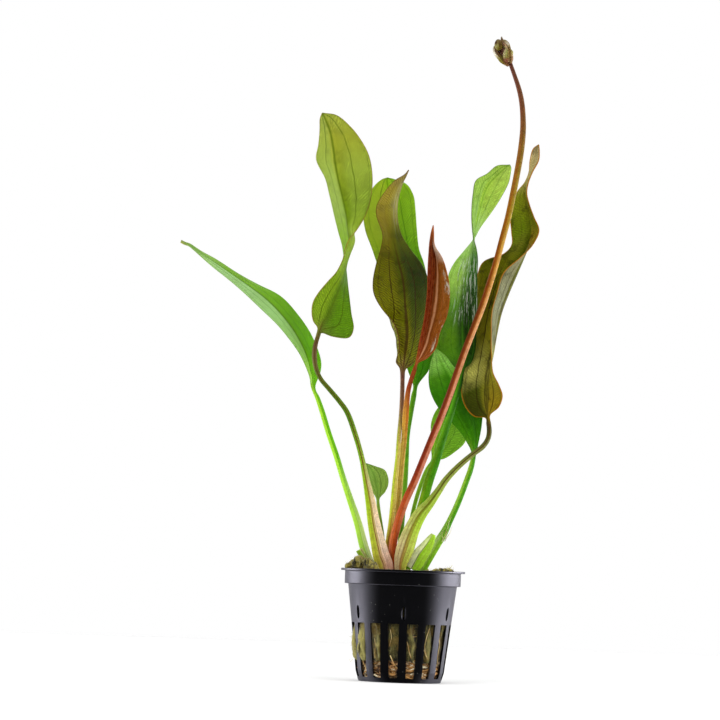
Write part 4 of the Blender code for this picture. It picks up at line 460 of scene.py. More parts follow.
# Colours along each leaf as it shows from the front: height of the midrib, then left half,
# midrib and right half (sRGB, 0 to 255). Many stops hold painted light and shade as well as the
# leaves' own colours: a part that faces away or lies in shadow is painted darker, and sheen and
# highlights are painted paler.
TONES = {
    "leaf_far_left": [
        (49, (165, 205, 90), (150, 190, 70), (228, 238, 190)),
        (70, (180, 225, 80), (155, 205, 55), (200, 228, 130)),
        (100, (175, 228, 65), (120, 190, 30), (110, 182, 20)),
        (128, (165, 215, 55), (125, 185, 30), (108, 178, 15)),
        # Painted sheen: from 145 to 182 the left half is painted pale grey-green where it catches the light.
        (145, (140, 190, 80), (100, 150, 20), (100, 170, 20)),
        (165, (155, 198, 122), (105, 145, 40), (112, 172, 30)),
        (182, (160, 200, 130), (125, 165, 70), (125, 175, 45)),
        (189, (165, 202, 122), (160, 198, 112), (158, 195, 105)),
        (192.5, (170, 200, 120), (165, 195, 105), (170, 195, 110)),
        (194, (215, 195, 115), (225, 215, 130), (190, 180, 125))],
    "leaf_tall_left": [
        (49, (190, 165, 65), (218, 165, 130), (196, 140, 115)),
        (62, (182, 195, 55), (216, 190, 118), (242, 218, 192)),
        (80, (165, 198, 38), (184, 168, 76), (240, 212, 170)),
        (98, (130, 178, 25), (110, 95, 25), (150, 180, 60)),
        (118, (82, 132, 20), (60, 88, 14), (92, 136, 26)), (132, (78, 112, 22), (54, 72, 16), (88, 116, 28)),
        (143, (115, 100, 62), (82, 62, 38), (110, 98, 55)), (150, (105, 82, 55), (80, 58, 40), (100, 80, 50)),
        (163, (125, 158, 28), (85, 115, 15), (85, 130, 8)),
        (185, (132, 165, 28), (92, 135, 18), (100, 150, 15)),
        (198, (140, 165, 42), (108, 135, 25), (125, 165, 28)),
        (212, (135, 162, 48), (112, 142, 15), (140, 165, 70)),
        (228, (150, 170, 58), (142, 158, 38), (152, 174, 70)),
        (243, (160, 166, 52), (155, 160, 44), (158, 172, 66)),
        (254, (158, 168, 62), (154, 162, 54), (158, 172, 70))],
    "leaf_small": [
        (49, (110, 150, 28), (112, 145, 28), (120, 155, 35)),
        (80, (145, 180, 75), (125, 165, 62), (142, 180, 70)),
        (97, (150, 185, 85), (135, 175, 70), (150, 185, 80))],
    "leaf_centre": [
        (49, (160, 85, 30), (175, 100, 42), (175, 115, 50)),
        (64, (205, 195, 62), (192, 142, 54), (206, 174, 80)),
        (82, (190, 215, 50), (214, 206, 84), (222, 210, 98)),
        (104, (178, 200, 55), (206, 192, 80), (206, 190, 92)),
        (122, (140, 110, 75), (105, 70, 50), (120, 90, 68)), (137, (100, 68, 62), (88, 50, 48), (90, 58, 50)),
        (148, (132, 130, 14), (120, 112, 18), (118, 125, 18)),
        # Painted shade: from 162 to 190 the right half is painted darker, where it faces away from the light.
        (162, (126, 126, 8), (100, 104, 8), (76, 92, 14)), (178, (98, 100, 2), (60, 68, 2), (42, 64, 12)),
        (190, (95, 95, 2), (64, 72, 2), (46, 64, 14)), (202, (114, 108, 18), (94, 95, 8), (88, 98, 16)),
        (208, (126, 114, 26), (118, 112, 20), (122, 118, 32)),
        (214, (145, 132, 36), (140, 132, 40), (144, 138, 54)),
        (222, (148, 132, 42), (146, 134, 52), (150, 144, 72)),
        (230, (165, 148, 95), (160, 142, 90), (165, 150, 100))],
    "leaf_young_red": [
        (49, (185, 95, 45), (190, 105, 50), (195, 125, 65)),
        (64, (205, 175, 80), (190, 130, 52), (215, 190, 92)),
        (85, (214, 194, 84), (208, 182, 80), (204, 182, 88)),
        (104, (210, 182, 72), (214, 184, 80), (194, 152, 60)),
        (118, (208, 158, 60), (206, 148, 54), (186, 112, 34)),
        (132, (150, 50, 24), (140, 42, 18), (125, 38, 14)),
        # Painted highlights: from 156 to 172 the midrib is painted pale along the fold, and at 195 the right
        # half is painted near white.
        (142, (126, 50, 16), (124, 50, 16), (112, 52, 12)), (156, (110, 34, 6), (160, 92, 40), (118, 62, 9)),
        (172, (98, 24, 2), (158, 94, 40), (120, 68, 12)), (188, (86, 18, 0), (126, 66, 20), (124, 70, 18)),
        (195, (78, 16, 0), (95, 28, 2), (205, 180, 160)), (200, (82, 20, 2), (90, 26, 4), (150, 90, 50)),
        (205, (95, 34, 12), (95, 32, 10), (100, 36, 14))],
    "leaf_back": [
        (49, (125, 175, 35), (105, 160, 20), (98, 155, 15)),
        (110, (105, 165, 22), (82, 155, 10), (78, 152, 10)), (140, (88, 155, 10), (70, 142, 6), (60, 135, 4)),
        (170, (115, 172, 14), (105, 165, 14), (102, 168, 24)),
        (190, (145, 178, 30), (136, 180, 28), (112, 180, 26)),
        (205, (160, 182, 42), (145, 186, 32), (148, 202, 40)),
        (222, (165, 192, 42), (150, 192, 26), (142, 188, 30))],
    "leaf_right_twisted": [
        (49, (155, 200, 60), (140, 190, 40), (110, 168, 28)),
        (75, (148, 188, 38), (108, 172, 16), (120, 172, 20)),
        (92, (112, 170, 22), (78, 152, 10), (66, 138, 6)), (122, (85, 160, 20), (62, 135, 8), (50, 118, 5)),
        # Painted shadow and shade: from 132 to 143 the stalk is painted dark, most on its right side, where
        # it lies in shadow, and from 148 to 180 the right half is painted dark where it faces away.
        (132, (80, 150, 20), (50, 110, 8), (25, 70, 5)), (143, (40, 95, 5), (34, 88, 4), (20, 66, 4)),
        (148, (82, 138, 8), (40, 92, 4), (20, 58, 4)), (156, (92, 142, 10), (36, 78, 5), (14, 40, 3)),
        (164, (74, 122, 12), (28, 62, 5), (14, 42, 3)), (170, (88, 145, 24), (38, 78, 8), (16, 50, 3)),
        (180, (160, 205, 82), (96, 138, 55), (30, 72, 14)),
        (192, (160, 208, 95), (120, 155, 80), (50, 105, 10)),
        (202, (140, 185, 80), (120, 170, 50), (130, 175, 60)),
        (216, (172, 208, 80), (160, 200, 62), (140, 180, 80)),
        (232, (182, 214, 92), (175, 208, 80), (168, 204, 80))],
    "leaf_right_broad": [
        (49, (180, 210, 120), (165, 205, 75), (125, 190, 25)),
        (62, (192, 218, 138), (175, 210, 90), (145, 195, 50)),
        (69, (150, 195, 75), (100, 172, 28), (78, 152, 12)),
        (95, (150, 195, 55), (98, 170, 22), (75, 150, 10)), (112, (80, 155, 10), (64, 138, 4), (50, 115, 2)),
        (122, (54, 122, 2), (44, 108, 1), (40, 102, 1)), (132, (58, 132, 6), (38, 104, 2), (46, 124, 3)),
        (138, (84, 150, 24), (72, 142, 14), (108, 180, 40)),
        # Painted sheen: from 143 to the tip the blade is painted pale where it catches the light.
        (143, (150, 212, 92), (128, 196, 66), (146, 212, 88)),
        (149, (165, 220, 108), (160, 215, 102), (152, 210, 92))],
    "leaf_low_back": [
        (49, (105, 155, 22), (100, 150, 18), (100, 150, 18)),
        (95, (130, 180, 40), (112, 172, 26), (112, 172, 26)),
        (115, (128, 185, 38), (115, 178, 32), (128, 186, 48)),
        (131, (120, 180, 38), (115, 176, 34), (120, 180, 42))],
    "leaf_right_olive": [
        (49, (198, 168, 128), (165, 112, 58), (172, 168, 58)),
        (60, (210, 198, 140), (172, 152, 70), (192, 208, 90)),
        (72, (178, 188, 95), (135, 150, 35), (172, 210, 60)),
        (80, (150, 175, 65), (92, 112, 18), (165, 198, 70)),
        (90, (130, 150, 62), (62, 72, 12), (150, 172, 75)),
        (100, (108, 122, 52), (48, 54, 14), (130, 142, 68)), (110, (74, 84, 36), (40, 42, 14), (96, 106, 52)),
        # Painted shadow: from 116 to 134 the left half is painted dark where it lies in shadow beside the
        # twisted leaf's stalk.
        (116, (60, 60, 32), (44, 42, 20), (72, 74, 40)), (119, (60, 66, 6), (104, 100, 16), (135, 114, 18)),
        (127, (50, 58, 4), (128, 122, 24), (142, 122, 20)),
        (134, (64, 74, 8), (144, 142, 36), (138, 124, 28)),
        (141, (190, 188, 92), (180, 176, 74), (158, 152, 44)),
        (147, (165, 162, 72), (155, 152, 50), (150, 148, 60)),
        (156, (138, 130, 18), (128, 128, 18), (118, 120, 84)),
        (175, (122, 116, 8), (98, 102, 6), (116, 118, 86)),
        (192, (112, 114, 10), (92, 100, 5), (120, 118, 84)),
        (200, (122, 128, 34), (98, 110, 8), (140, 116, 28)),
        (208, (98, 118, 8), (98, 112, 8), (104, 108, 14)),
        (221, (118, 126, 16), (118, 120, 20), (118, 112, 26)),
        (229, (168, 152, 86), (162, 148, 80), (165, 152, 92)),
        (243, (202, 182, 130), (196, 178, 124), (204, 184, 134))],
    "cut_stub_left": [
        (49, (120, 160, 35), (130, 172, 40), (165, 185, 90)),
        (58, (135, 175, 40), (145, 190, 48), (205, 215, 140))],
    "cut_stub_right": [
        # The left column is the stub's pale membrane, painted lighter still to lift its shaded left face.
        (50, (250, 255, 215), (150, 195, 40), (150, 200, 40)),
        (58, (250, 255, 205), (150, 200, 30), (165, 210, 60)),
        (66, (200, 225, 120), (160, 205, 50), (160, 205, 50))],
    "flower_stalk": [
        (49, (160, 66, 34), (188, 92, 42), (168, 66, 30)), (62, (205, 108, 58), (186, 80, 28), (160, 62, 18)),
        # Painted highlight: from 80 to 160 the right side is painted pale pink where the light falls on it.
        (80, (174, 74, 36), (176, 70, 24), (192, 110, 74)),
        (95, (118, 34, 14), (140, 52, 26), (190, 115, 90)),
        (125, (100, 36, 10), (138, 62, 28), (192, 125, 98)),
        (160, (100, 45, 6), (140, 74, 24), (188, 132, 84)),
        (190, (128, 66, 6), (155, 98, 28), (185, 135, 55)),
        (215, (140, 90, 12), (150, 105, 22), (140, 118, 18)),
        (240, (132, 90, 32), (124, 82, 26), (116, 90, 22)), (262, (104, 64, 40), (98, 58, 36), (102, 66, 38)),
        (279, (94, 56, 46), (88, 48, 38), (94, 62, 44))],
    "flower_bud": [
        (279, (95, 45, 35), (85, 30, 28), (95, 45, 35)), (284, (90, 58, 40), (95, 60, 50), (85, 50, 30)),
        (286.3, (50, 28, 8), (95, 60, 52), (50, 30, 10)), (287.2, (70, 50, 10), (60, 35, 10), (150, 148, 85)),
        (288.2, (95, 72, 20), (62, 34, 8), (120, 85, 60)),
        (289.4, (100, 78, 35), (125, 90, 55), (165, 125, 100)),
        (290.4, (105, 85, 45), (115, 88, 50), (125, 100, 70)),
        (292, (125, 110, 90), (125, 110, 90), (130, 115, 95))],
    "bract_left": [
        (279.2, (130, 95, 60), (125, 85, 55), (110, 75, 45)),
        (280.9, (140, 130, 45), (118, 112, 28), (120, 80, 50)),
        # Painted shade: from 282.4 to 286 the right side is painted dark brown where the bract's hollow lies
        # in shadow.
        (282.4, (165, 155, 80), (118, 115, 25), (85, 78, 20)),
        (283.2, (235, 220, 175), (205, 190, 140), (75, 60, 15)),
        (284, (255, 252, 235), (255, 245, 220), (80, 50, 18)),
        (286, (255, 248, 232), (245, 230, 205), (62, 38, 10)),
        (287.8, (200, 180, 145), (180, 160, 120), (95, 75, 45))],
    "bract_hood": [
        (286.3, (95, 82, 25), (98, 88, 14), (85, 68, 18)),
        (287.2, (155, 150, 90), (112, 104, 28), (95, 80, 15)),
        (288.2, (155, 148, 90), (152, 148, 82), (85, 64, 15)),
        # Painted shade: at 288.9 and 289.8 the left side is painted dark where the hood's opening lies in
        # shadow.
        (288.9, (80, 50, 12), (125, 110, 58), (92, 72, 26)),
        (289.8, (62, 36, 8), (120, 104, 60), (112, 88, 50)),
        (290.5, (110, 98, 52), (155, 146, 98), (122, 102, 62))],
    "bract_front": [
        (280.8, (135, 80, 60), (112, 50, 42), (108, 85, 28)),
        (282.2, (125, 85, 62), (118, 64, 40), (104, 62, 32)),
        (283, (158, 148, 92), (128, 122, 56), (114, 102, 42)),
        (284.5, (188, 178, 132), (142, 150, 76), (122, 102, 42)),
        (286, (182, 172, 122), (152, 158, 88), (116, 90, 36)),
        (287.4, (205, 182, 138), (195, 168, 122), (95, 64, 26)),
        (289, (195, 162, 130), (185, 150, 118), (140, 108, 80)),
        (290.2, (135, 105, 82), (130, 100, 80), (125, 98, 75))],
    "bract_right": [
        (280.4, (108, 92, 32), (120, 100, 40), (115, 90, 40)),
        (282, (110, 82, 32), (155, 110, 80), (160, 120, 90)),
        (283.5, (118, 80, 32), (165, 132, 92), (182, 152, 118)),
        (285, (112, 80, 26), (172, 162, 92), (190, 186, 122)),
        (286.4, (115, 85, 32), (135, 115, 55), (155, 145, 86))],
    "bract_back": [
        (283, (110, 80, 26), (112, 80, 28), (118, 88, 40)),
        (286.6, (98, 74, 25), (118, 88, 32), (125, 98, 48)),
        (287.6, (88, 60, 26), (145, 120, 74), (145, 124, 78)),
        (288.3, (200, 178, 132), (240, 225, 188), (150, 130, 88)),
        (289.3, (248, 240, 208), (255, 250, 230), (155, 136, 96)),
        (290.4, (158, 144, 104), (172, 158, 118), (135, 120, 85))],
}

# Marks of a leaf's skin, as shares from 0 to 1 unless said otherwise.
# Blade: veins (main veins on each half), their tint, strength, hatch (cross veins), net, dots,
# mottle, margin and rim (the margin line's tint and its width in mm), fade (reach in mm at which
# the veins grow faint), bands (place across, width, strength, tint), film (painted highlights:
# whitish streaks and patches of reflected light; first and last reach in mm, strength, lanes,
# inner and outer place across).
# Stalk: lines (place across, width, strength), stripe and speck, all in the tint "line".
# Both: rough, shine and glow (light let through), grain, and blend (how far the midrib's colour
# reaches to the left and the right).
LEAF_LOOK = {
    "veins": 2.45, "vein": (60, 105, 10), "strength": 0.5, "rough": 0.34, "margin": (100, 120, 30),
    "margin_strength": 0.35, "dots": 0.15, "net": 0.25, "hatch": 0.6, "glow": 0.2, "shine": 0.08, "lines": (),
    "line": (110, 50, 20), "mottle": 0.25, "speck": 0.3, "painted_highlights": None, "grain": 1, "rim": 0.3,
    "blend": (0.4, 0.28), "fade": 1000, "stripe": 0.35, "bands": ()}
FADE_LENGTH = 20
LEAF_LOOKS = {
    "leaf_far_left": {
        "vein": (50, 120, 8), "grain": 0.05, "blend": (0.12, 0.12), "hatch": 0.15, "net": 0.04, "dots": 0.05,
        "mottle": 0.1, "lines": ((0.35, 0.1, 0.3),), "line": (90, 150, 30)},
    "leaf_tall_left": {
        "veins": 2.2, "vein": (80, 105, 8), "strength": 0.8, "rough": 0.45, "margin": (150, 110, 45),
        "margin_strength": 0.8, "line": (105, 58, 20), "speck": 0.35, "hatch": 0.45, "stripe": 0.2,
        "lines": ((-0.12, 0.08, 0.85), (0.1, 0.04, 0.5), (0.4, 0.03, 0.5), (0.6, 0.03, 0.4),
            (-0.6, 0.05, 0.3))},
    "leaf_small": {
        "vein": (85, 130, 45), "rough": 0.55, "strength": 0.4, "net": 0.5},
    "leaf_centre": {
        "vein": (55, 30, 5), "strength": 0.9, "margin": (85, 45, 18), "margin_strength": 0.8, "dots": 0.7,
        "hatch": 0.8, "line": (150, 90, 38), "glow": 0.12, "mottle": 0.6, "speck": 0.5, "stripe": 0.25,
        "fade": 46, "lines": ((-0.1, 0.07, 0.5), (0.75, 0.08, 0.6), (-0.85, 0.08, 0.4))},
    "leaf_young_red": {
        "veins": 1.9, "vein": (190, 105, 50), "strength": 0.5, "rough": 0.3, "margin": (165, 80, 30),
        "glow": 0.08, "shine": 0.06, "hatch": 0.45, "net": 0.1, "line": (150, 80, 30), "speck": 0.6,
        # Painted light: the film paints highlight patches near the right margin; of the bands, the first
        # paints shade on the left face beside the midrib and the second a highlight along the fold, while the
        # third is a dark band.
        "stripe": 0.25, "lines": ((-0.45, 0.1, 0.5), (0.2, 0.08, 0.4)), "painted_highlights": (4, 56, 0.6, 3, 0.55, 0.85),
        "bands": ((-0.1, 0.14, 0.6, (70, 16, 0)), (0.15, 0.08, 0.6, (205, 150, 112)),
            (0.3, 0.07, 0.5, (92, 38, 5)))},
    "leaf_back": {
        "vein": (50, 112, 4), "strength": 0.6},
    "leaf_right_twisted": {
        "vein": (70, 132, 18), "rough": 0.3, "strength": 0.5, "shine": 0.08, "hatch": 0.35,
        # Painted light: the dark margin paints a shadow line, drawn along the whole margin, and the film
        # paints whitish streaks of reflected light on the left half.
        "margin": (25, 60, 5), "margin_strength": 0.6, "rim": 0.35, "stripe": 0.3,
        "painted_highlights": (25, 62, 0.8, 12, -0.75, -0.3), "lines": ((-0.3, 0.08, 0.4),), "line": (60, 115, 15)},
    "leaf_right_broad": {
        "vein": (40, 110, 5), "strength": 0.35, "shine": 0.06, "hatch": 0.4, "margin": (35, 95, 5),
        "margin_strength": 0.6, "line": (90, 140, 40), "lines": ((0.15, 0.07, 0.4),)},
    "leaf_low_back": {
        "vein": (80, 140, 25)},
    "leaf_right_olive": {
        "veins": 2.3, "vein": (50, 36, 5), "strength": 0.8, "rough": 0.4, "hatch": 0.35, "fade": 62,
        "shine": 0.05, "stripe": 0.25, "margin": (165, 105, 10), "margin_strength": 0.9, "rim": 0.5,
        "dots": 0.6, "glow": 0.14, "line": (110, 52, 22), "mottle": 0.9, "speck": 0.4,
        "lines": ((-0.55, 0.05, 0.5), (-0.15, 0.07, 0.6), (0.2, 0.05, 0.6), (0.6, 0.04, 0.3)),
        "bands": ((-0.09, 0.05, 0.75, (42, 34, 8)), (0.12, 0.06, 0.6, (42, 34, 8)))},
}
STEM_LOOKS = {
    "flower_stalk": {
        "rough": 0.4, "shine": 0.06, "line": (110, 30, 8), "lines": ((-0.5, 0.12, 0.3),), "glow": 0.05,
        "speck": 0.5},
    "cut_stub_left": {
        "line": (120, 60, 30), "lines": ((0.45, 0.09, 0.8),)},
    "cut_stub_right": {
        "glow": 0.1, "line": (95, 60, 25), "stripe": 0.05, "speck": 0.1,
        "lines": ((-0.2, 0.04, 0.9), (0.5, 0.04, 0.5))},
    "flower_bud": {
        "line": (70, 20, 20), "lines": ((-0.4, 0.1, 0.5), (0.4, 0.1, 0.5)), "glow": 0.02},
    "bract": {
        "veins": 5, "vein": (95, 70, 35), "strength": 0.3, "margin": (85, 55, 35), "margin_strength": 0.35,
        "glow": 0.12, "rough": 0.45, "hatch": 0, "net": 0},
}


def rgba(colour):
    """Linear colour from one written 0 to 255."""
    shares = [c / 255 for c in colour]
    return (*(c / 12.92 if c <= 0.04045 else ((c + 0.055) / 1.055) ** 2.4 for c in shares), 1.0)


def tint(colour, share=1.0, more=0.0):
    """Linear colour made darker or lighter."""
    return (*(min(1.0, c * share + more) for c in colour), 1.0)


# ---------------------------------------------------------------- node trees

def reckon(operation, swapped=False):
    """Method that joins a value and another number by a math node."""
    def method(self, other=0.0):
        return self.nodes.math(operation, *((other, self) if swapped else (self, other)))
    return method


class Value:
    """What an output of a node gives, which can be reckoned with like a number."""

    def __init__(self, nodes, socket):
        self.nodes, self.socket = nodes, socket

    __add__ = __radd__ = reckon("ADD")
    __mul__ = __rmul__ = reckon("MULTIPLY")
    __sub__, __rsub__ = reckon("SUBTRACT"), reckon("SUBTRACT", swapped=True)
    __truediv__, __rtruediv__ = reckon("DIVIDE"), reckon("DIVIDE", swapped=True)
    __abs__ = reckon("ABSOLUTE")


class Nodes:
    """Adds nodes to one tree and joins them."""

    def __init__(self, tree):
        self.tree = tree
        self.tree.nodes.clear()

    def put(self, socket, value):
        if isinstance(value, Value):
            self.tree.links.new(value.socket, socket)
        else:
            socket.default_value = value

    def node(self, kind, inputs=None, **settings):
        item = self.tree.nodes.new(kind)
        for key, value in settings.items():
            setattr(item, key, value)
        for key, value in (inputs or {}).items():
            self.put(item.inputs[key], value)
        return item

    def add(self, kind, inputs=None, output=0, **settings):
        """One output of a new node."""
        return Value(self, self.node(kind, inputs, **settings).outputs[output])

    def math(self, operation, a, b=0.0):
        return self.add("ShaderNodeMath", {0: a, 1: b}, operation=operation)

    def middle(self, value):
        """How far a value is past the middle between two whole numbers."""
        return self.math("FRACT", value) - 0.5

    def step(self, value, low, high, start=0.0, end=1.0):
        """Smooth step from start at low to end at high."""
        return self.add("ShaderNodeMapRange", {0: value, 1: low, 2: high, 3: start, 4: end},
                        interpolation_type="SMOOTHSTEP")

    def line(self, value, half, soft):
        """One on a line where the value is zero, and nothing beyond its half width."""
        return self.step(abs(value), half, half + soft, 1.0, 0.0)

    def mix(self, factor, a, b, blend="MIX"):
        return self.add("ShaderNodeMix", {0: factor, 6: a, 7: b}, 2, data_type="RGBA", blend_type=blend,
                        clamp_factor=True)

    def coats(self, colour, *coats):
        """A colour under one coat after another, each (share, colour)."""
        for share, coat in coats:
            colour = self.mix(share, colour, coat)
        return colour

    def noise(self, vector, scale, detail=3.0, rough=0.55, stretch=None):
        if stretch:
            vector = self.add("ShaderNodeMapping", {"Vector": vector, "Scale": stretch})
        return self.add("ShaderNodeTexNoise", {"Vector": vector, "Scale": scale, "Detail": detail,
                                               "Roughness": rough}, "Fac")

    def cells(self, vector, scale, feature="F1"):
        return self.add("ShaderNodeTexVoronoi", {"Vector": vector, "Scale": scale}, "Distance",
                        feature=feature)

    def attribute(self, name, output="Fac"):
        return self.add("ShaderNodeAttribute", output=output, attribute_name=name)

    def combine(self, x=0.0, y=0.0, z=0.0):
        return self.add("ShaderNodeCombineXYZ", {0: x, 1: y, 2: z})

    def separate(self, vector):
        return [Value(self, part) for part in self.node("ShaderNodeSeparateXYZ", {0: vector}).outputs]

    def random(self, low, high, seed):
        return self.add("FunctionNodeRandomValue", {2: low, 3: high, "Seed": seed}, 1, data_type="FLOAT")

    def random_vector(self, low, high, seed):
        return self.add("FunctionNodeRandomValue", {0: low, 1: high, "Seed": seed},
                        data_type="FLOAT_VECTOR")

    def object_place(self):
        """Place on the object, in millimetres."""
        place = self.add("ShaderNodeTexCoord", output="Object")
        return self.add("ShaderNodeMapping", {"Vector": place, "Scale": (1000, 1000, 1000)})

    def bump(self, height, depth):
        return self.add("ShaderNodeBump", {"Height": height, "Distance": depth, "Strength": 1.0})

    def skin(self, colour, rough, normal, **more):
        """Main shader, with its further inputs named as in specular_ior_level."""
        named = {key.replace("_", " ").title().replace("Ior", "IOR"): value for key, value in more.items()}
        return self.add("ShaderNodeBsdfPrincipled", {"Base Color": colour, "Roughness": rough,
                                                     "Normal": normal, **named})

    def end(self, surface, kind="ShaderNodeOutputMaterial"):
        self.put(self.node(kind).inputs["Surface"], surface)


def new_material(name):
    mat = bpy.data.materials.new(name)
    mat.use_nodes = True
    return mat, Nodes(mat.node_tree)


def plastic_material(settings):
    mat, n = new_material("pot plastic")
    place = n.object_place()
    cloud, grain = n.noise(place, 0.12, 4), n.noise(place, 6.0, 2)
    speck = n.step(n.cells(place, 0.45), 0.06, 0.12, 1.0, 0.0) * n.step(cloud, 0.5, 0.56)
    scuff = n.step(n.noise(place, 0.5, 6, 0.7, (1, 1, 0.25)), 0.6, 0.75)
    colour = n.coats(tint(settings.colour), (cloud * 0.5, tint(settings.colour, 2.6, 0.002)),
                     (scuff * 0.12, (0.03, 0.03, 0.035, 1)), (speck * 0.6, (0.12, 0.12, 0.11, 1)))
    normal = n.bump(grain * 0.5 + cloud * 0.8, 0.00006)
    plastic = n.skin(colour, cloud * 0.16 + settings.roughness, normal, specular_ior_level=0.03)
    polish = n.add("ShaderNodeBsdfGlossy", {"Color": (0.86, 0.84, 1, 1), "Roughness": 0.33, "Normal": normal})
    facing = n.add("ShaderNodeLayerWeight", {"Blend": 0.5}, "Facing")
    rim = n.step(facing, 0.1, 0.42, 0.0, settings.polish)
    n.end(n.add("ShaderNodeMixShader", {0: rim, 1: plastic, 2: polish}))
    return mat


def wool_material(settings):
    """Matted wool: deep green-brown, with painted light and shade: lighter above the rim and where it bulges
    into the slots, dark in its hollows and pale on its ridges.
    """
    mat, n = new_material("rockwool")
    place = n.object_place()
    x, y, z = n.separate(place)
    rag = n.noise(place, 0.42, 4, 0.6, (1, 1, 0.22))
    fine = n.noise(place, 2.6, 6, 0.75)
    wisp = n.noise(place, 1.4, 4, 0.6, (1, 1, 0.12))
    ridge = n.add("ShaderNodeNewGeometry", output="Pointiness")
    dark, pale = tint(settings.wool_colour, 0.12), tint(settings.wool_light)
    # Painted light and shade: the wool in the pot is painted dark, and above the rim 6.2 times lighter, where
    # the light falls on it.
    body = n.mix(n.step(z, 47.0, 50.0), tint(settings.wool_colour), tint(settings.wool_colour, 6.2))
    out = n.math("SQRT", x * x + y * y)
    # Painted light: the wool is painted paler where it bulges furthest out into the slots, below 36 to 44 mm,
    # standing in for the light from the sides.
    painted_side_light = n.step(out - z * 0.1, 18.2, 20.0, 0.0, 0.9) * n.step(z, 36.0, 44.0, 1.0, 0.0)
    colour = n.coats(dark, (n.step(rag, 0.4, 0.58), body),
                     (n.step(n.noise(place, 0.2, 3), 0.5, 0.6) * 0.6, rgba((100, 78, 28))),
                     (n.step(fine, 0.52, 0.72) * 0.14, pale), (n.step(wisp, 0.56, 0.68) * 0.22, pale),
                     # Painted side light where it bulges into the slots, painted shade in its hollows and
                     # painted highlights on its ridges, from its pointiness.
                     (painted_side_light * n.step(rag, 0.35, 0.5), pale), (n.step(ridge, 0.42, 0.49, 0.85, 0.0), dark),
                     (n.step(ridge, 0.53, 0.6, 0.0, 0.35), pale))
    n.end(n.skin(colour, 0.95, n.bump(fine + wisp * 0.6, 0.0005), specular_ior_level=0.2, sheen_weight=0.15))
    return mat


def strand_material(name, pale, deep, rough):
    """For roots and fibres: colour that drifts from strand to strand and along each."""
    mat, n = new_material(name)
    place = n.object_place()
    drift, fine = n.noise(place, 0.3, 4, 0.6), n.noise(place, 2.0, 3)
    colour = n.coats(rgba(deep), (n.step(drift, 0.38, 0.62), rgba(pale)),
                     (fine * 0.35, rgba([c * 0.5 for c in deep])))
    n.end(n.skin(colour, rough, n.bump(fine, 0.00008), specular_ior_level=0.4))
    return mat


def crown_material():
    mat, n = new_material("crown")
    place = n.object_place()
    blotch, fine = n.noise(place, 0.5, 5), n.noise(place, 3.0, 4)
    colour = n.coats(rgba((95, 60, 35)), (n.step(blotch, 0.4, 0.6), rgba((160, 140, 85))),
                     (fine * 0.4, rgba((60, 40, 25))))
    n.end(n.skin(colour, 0.6, n.bump(fine, 0.0003)))
    return mat


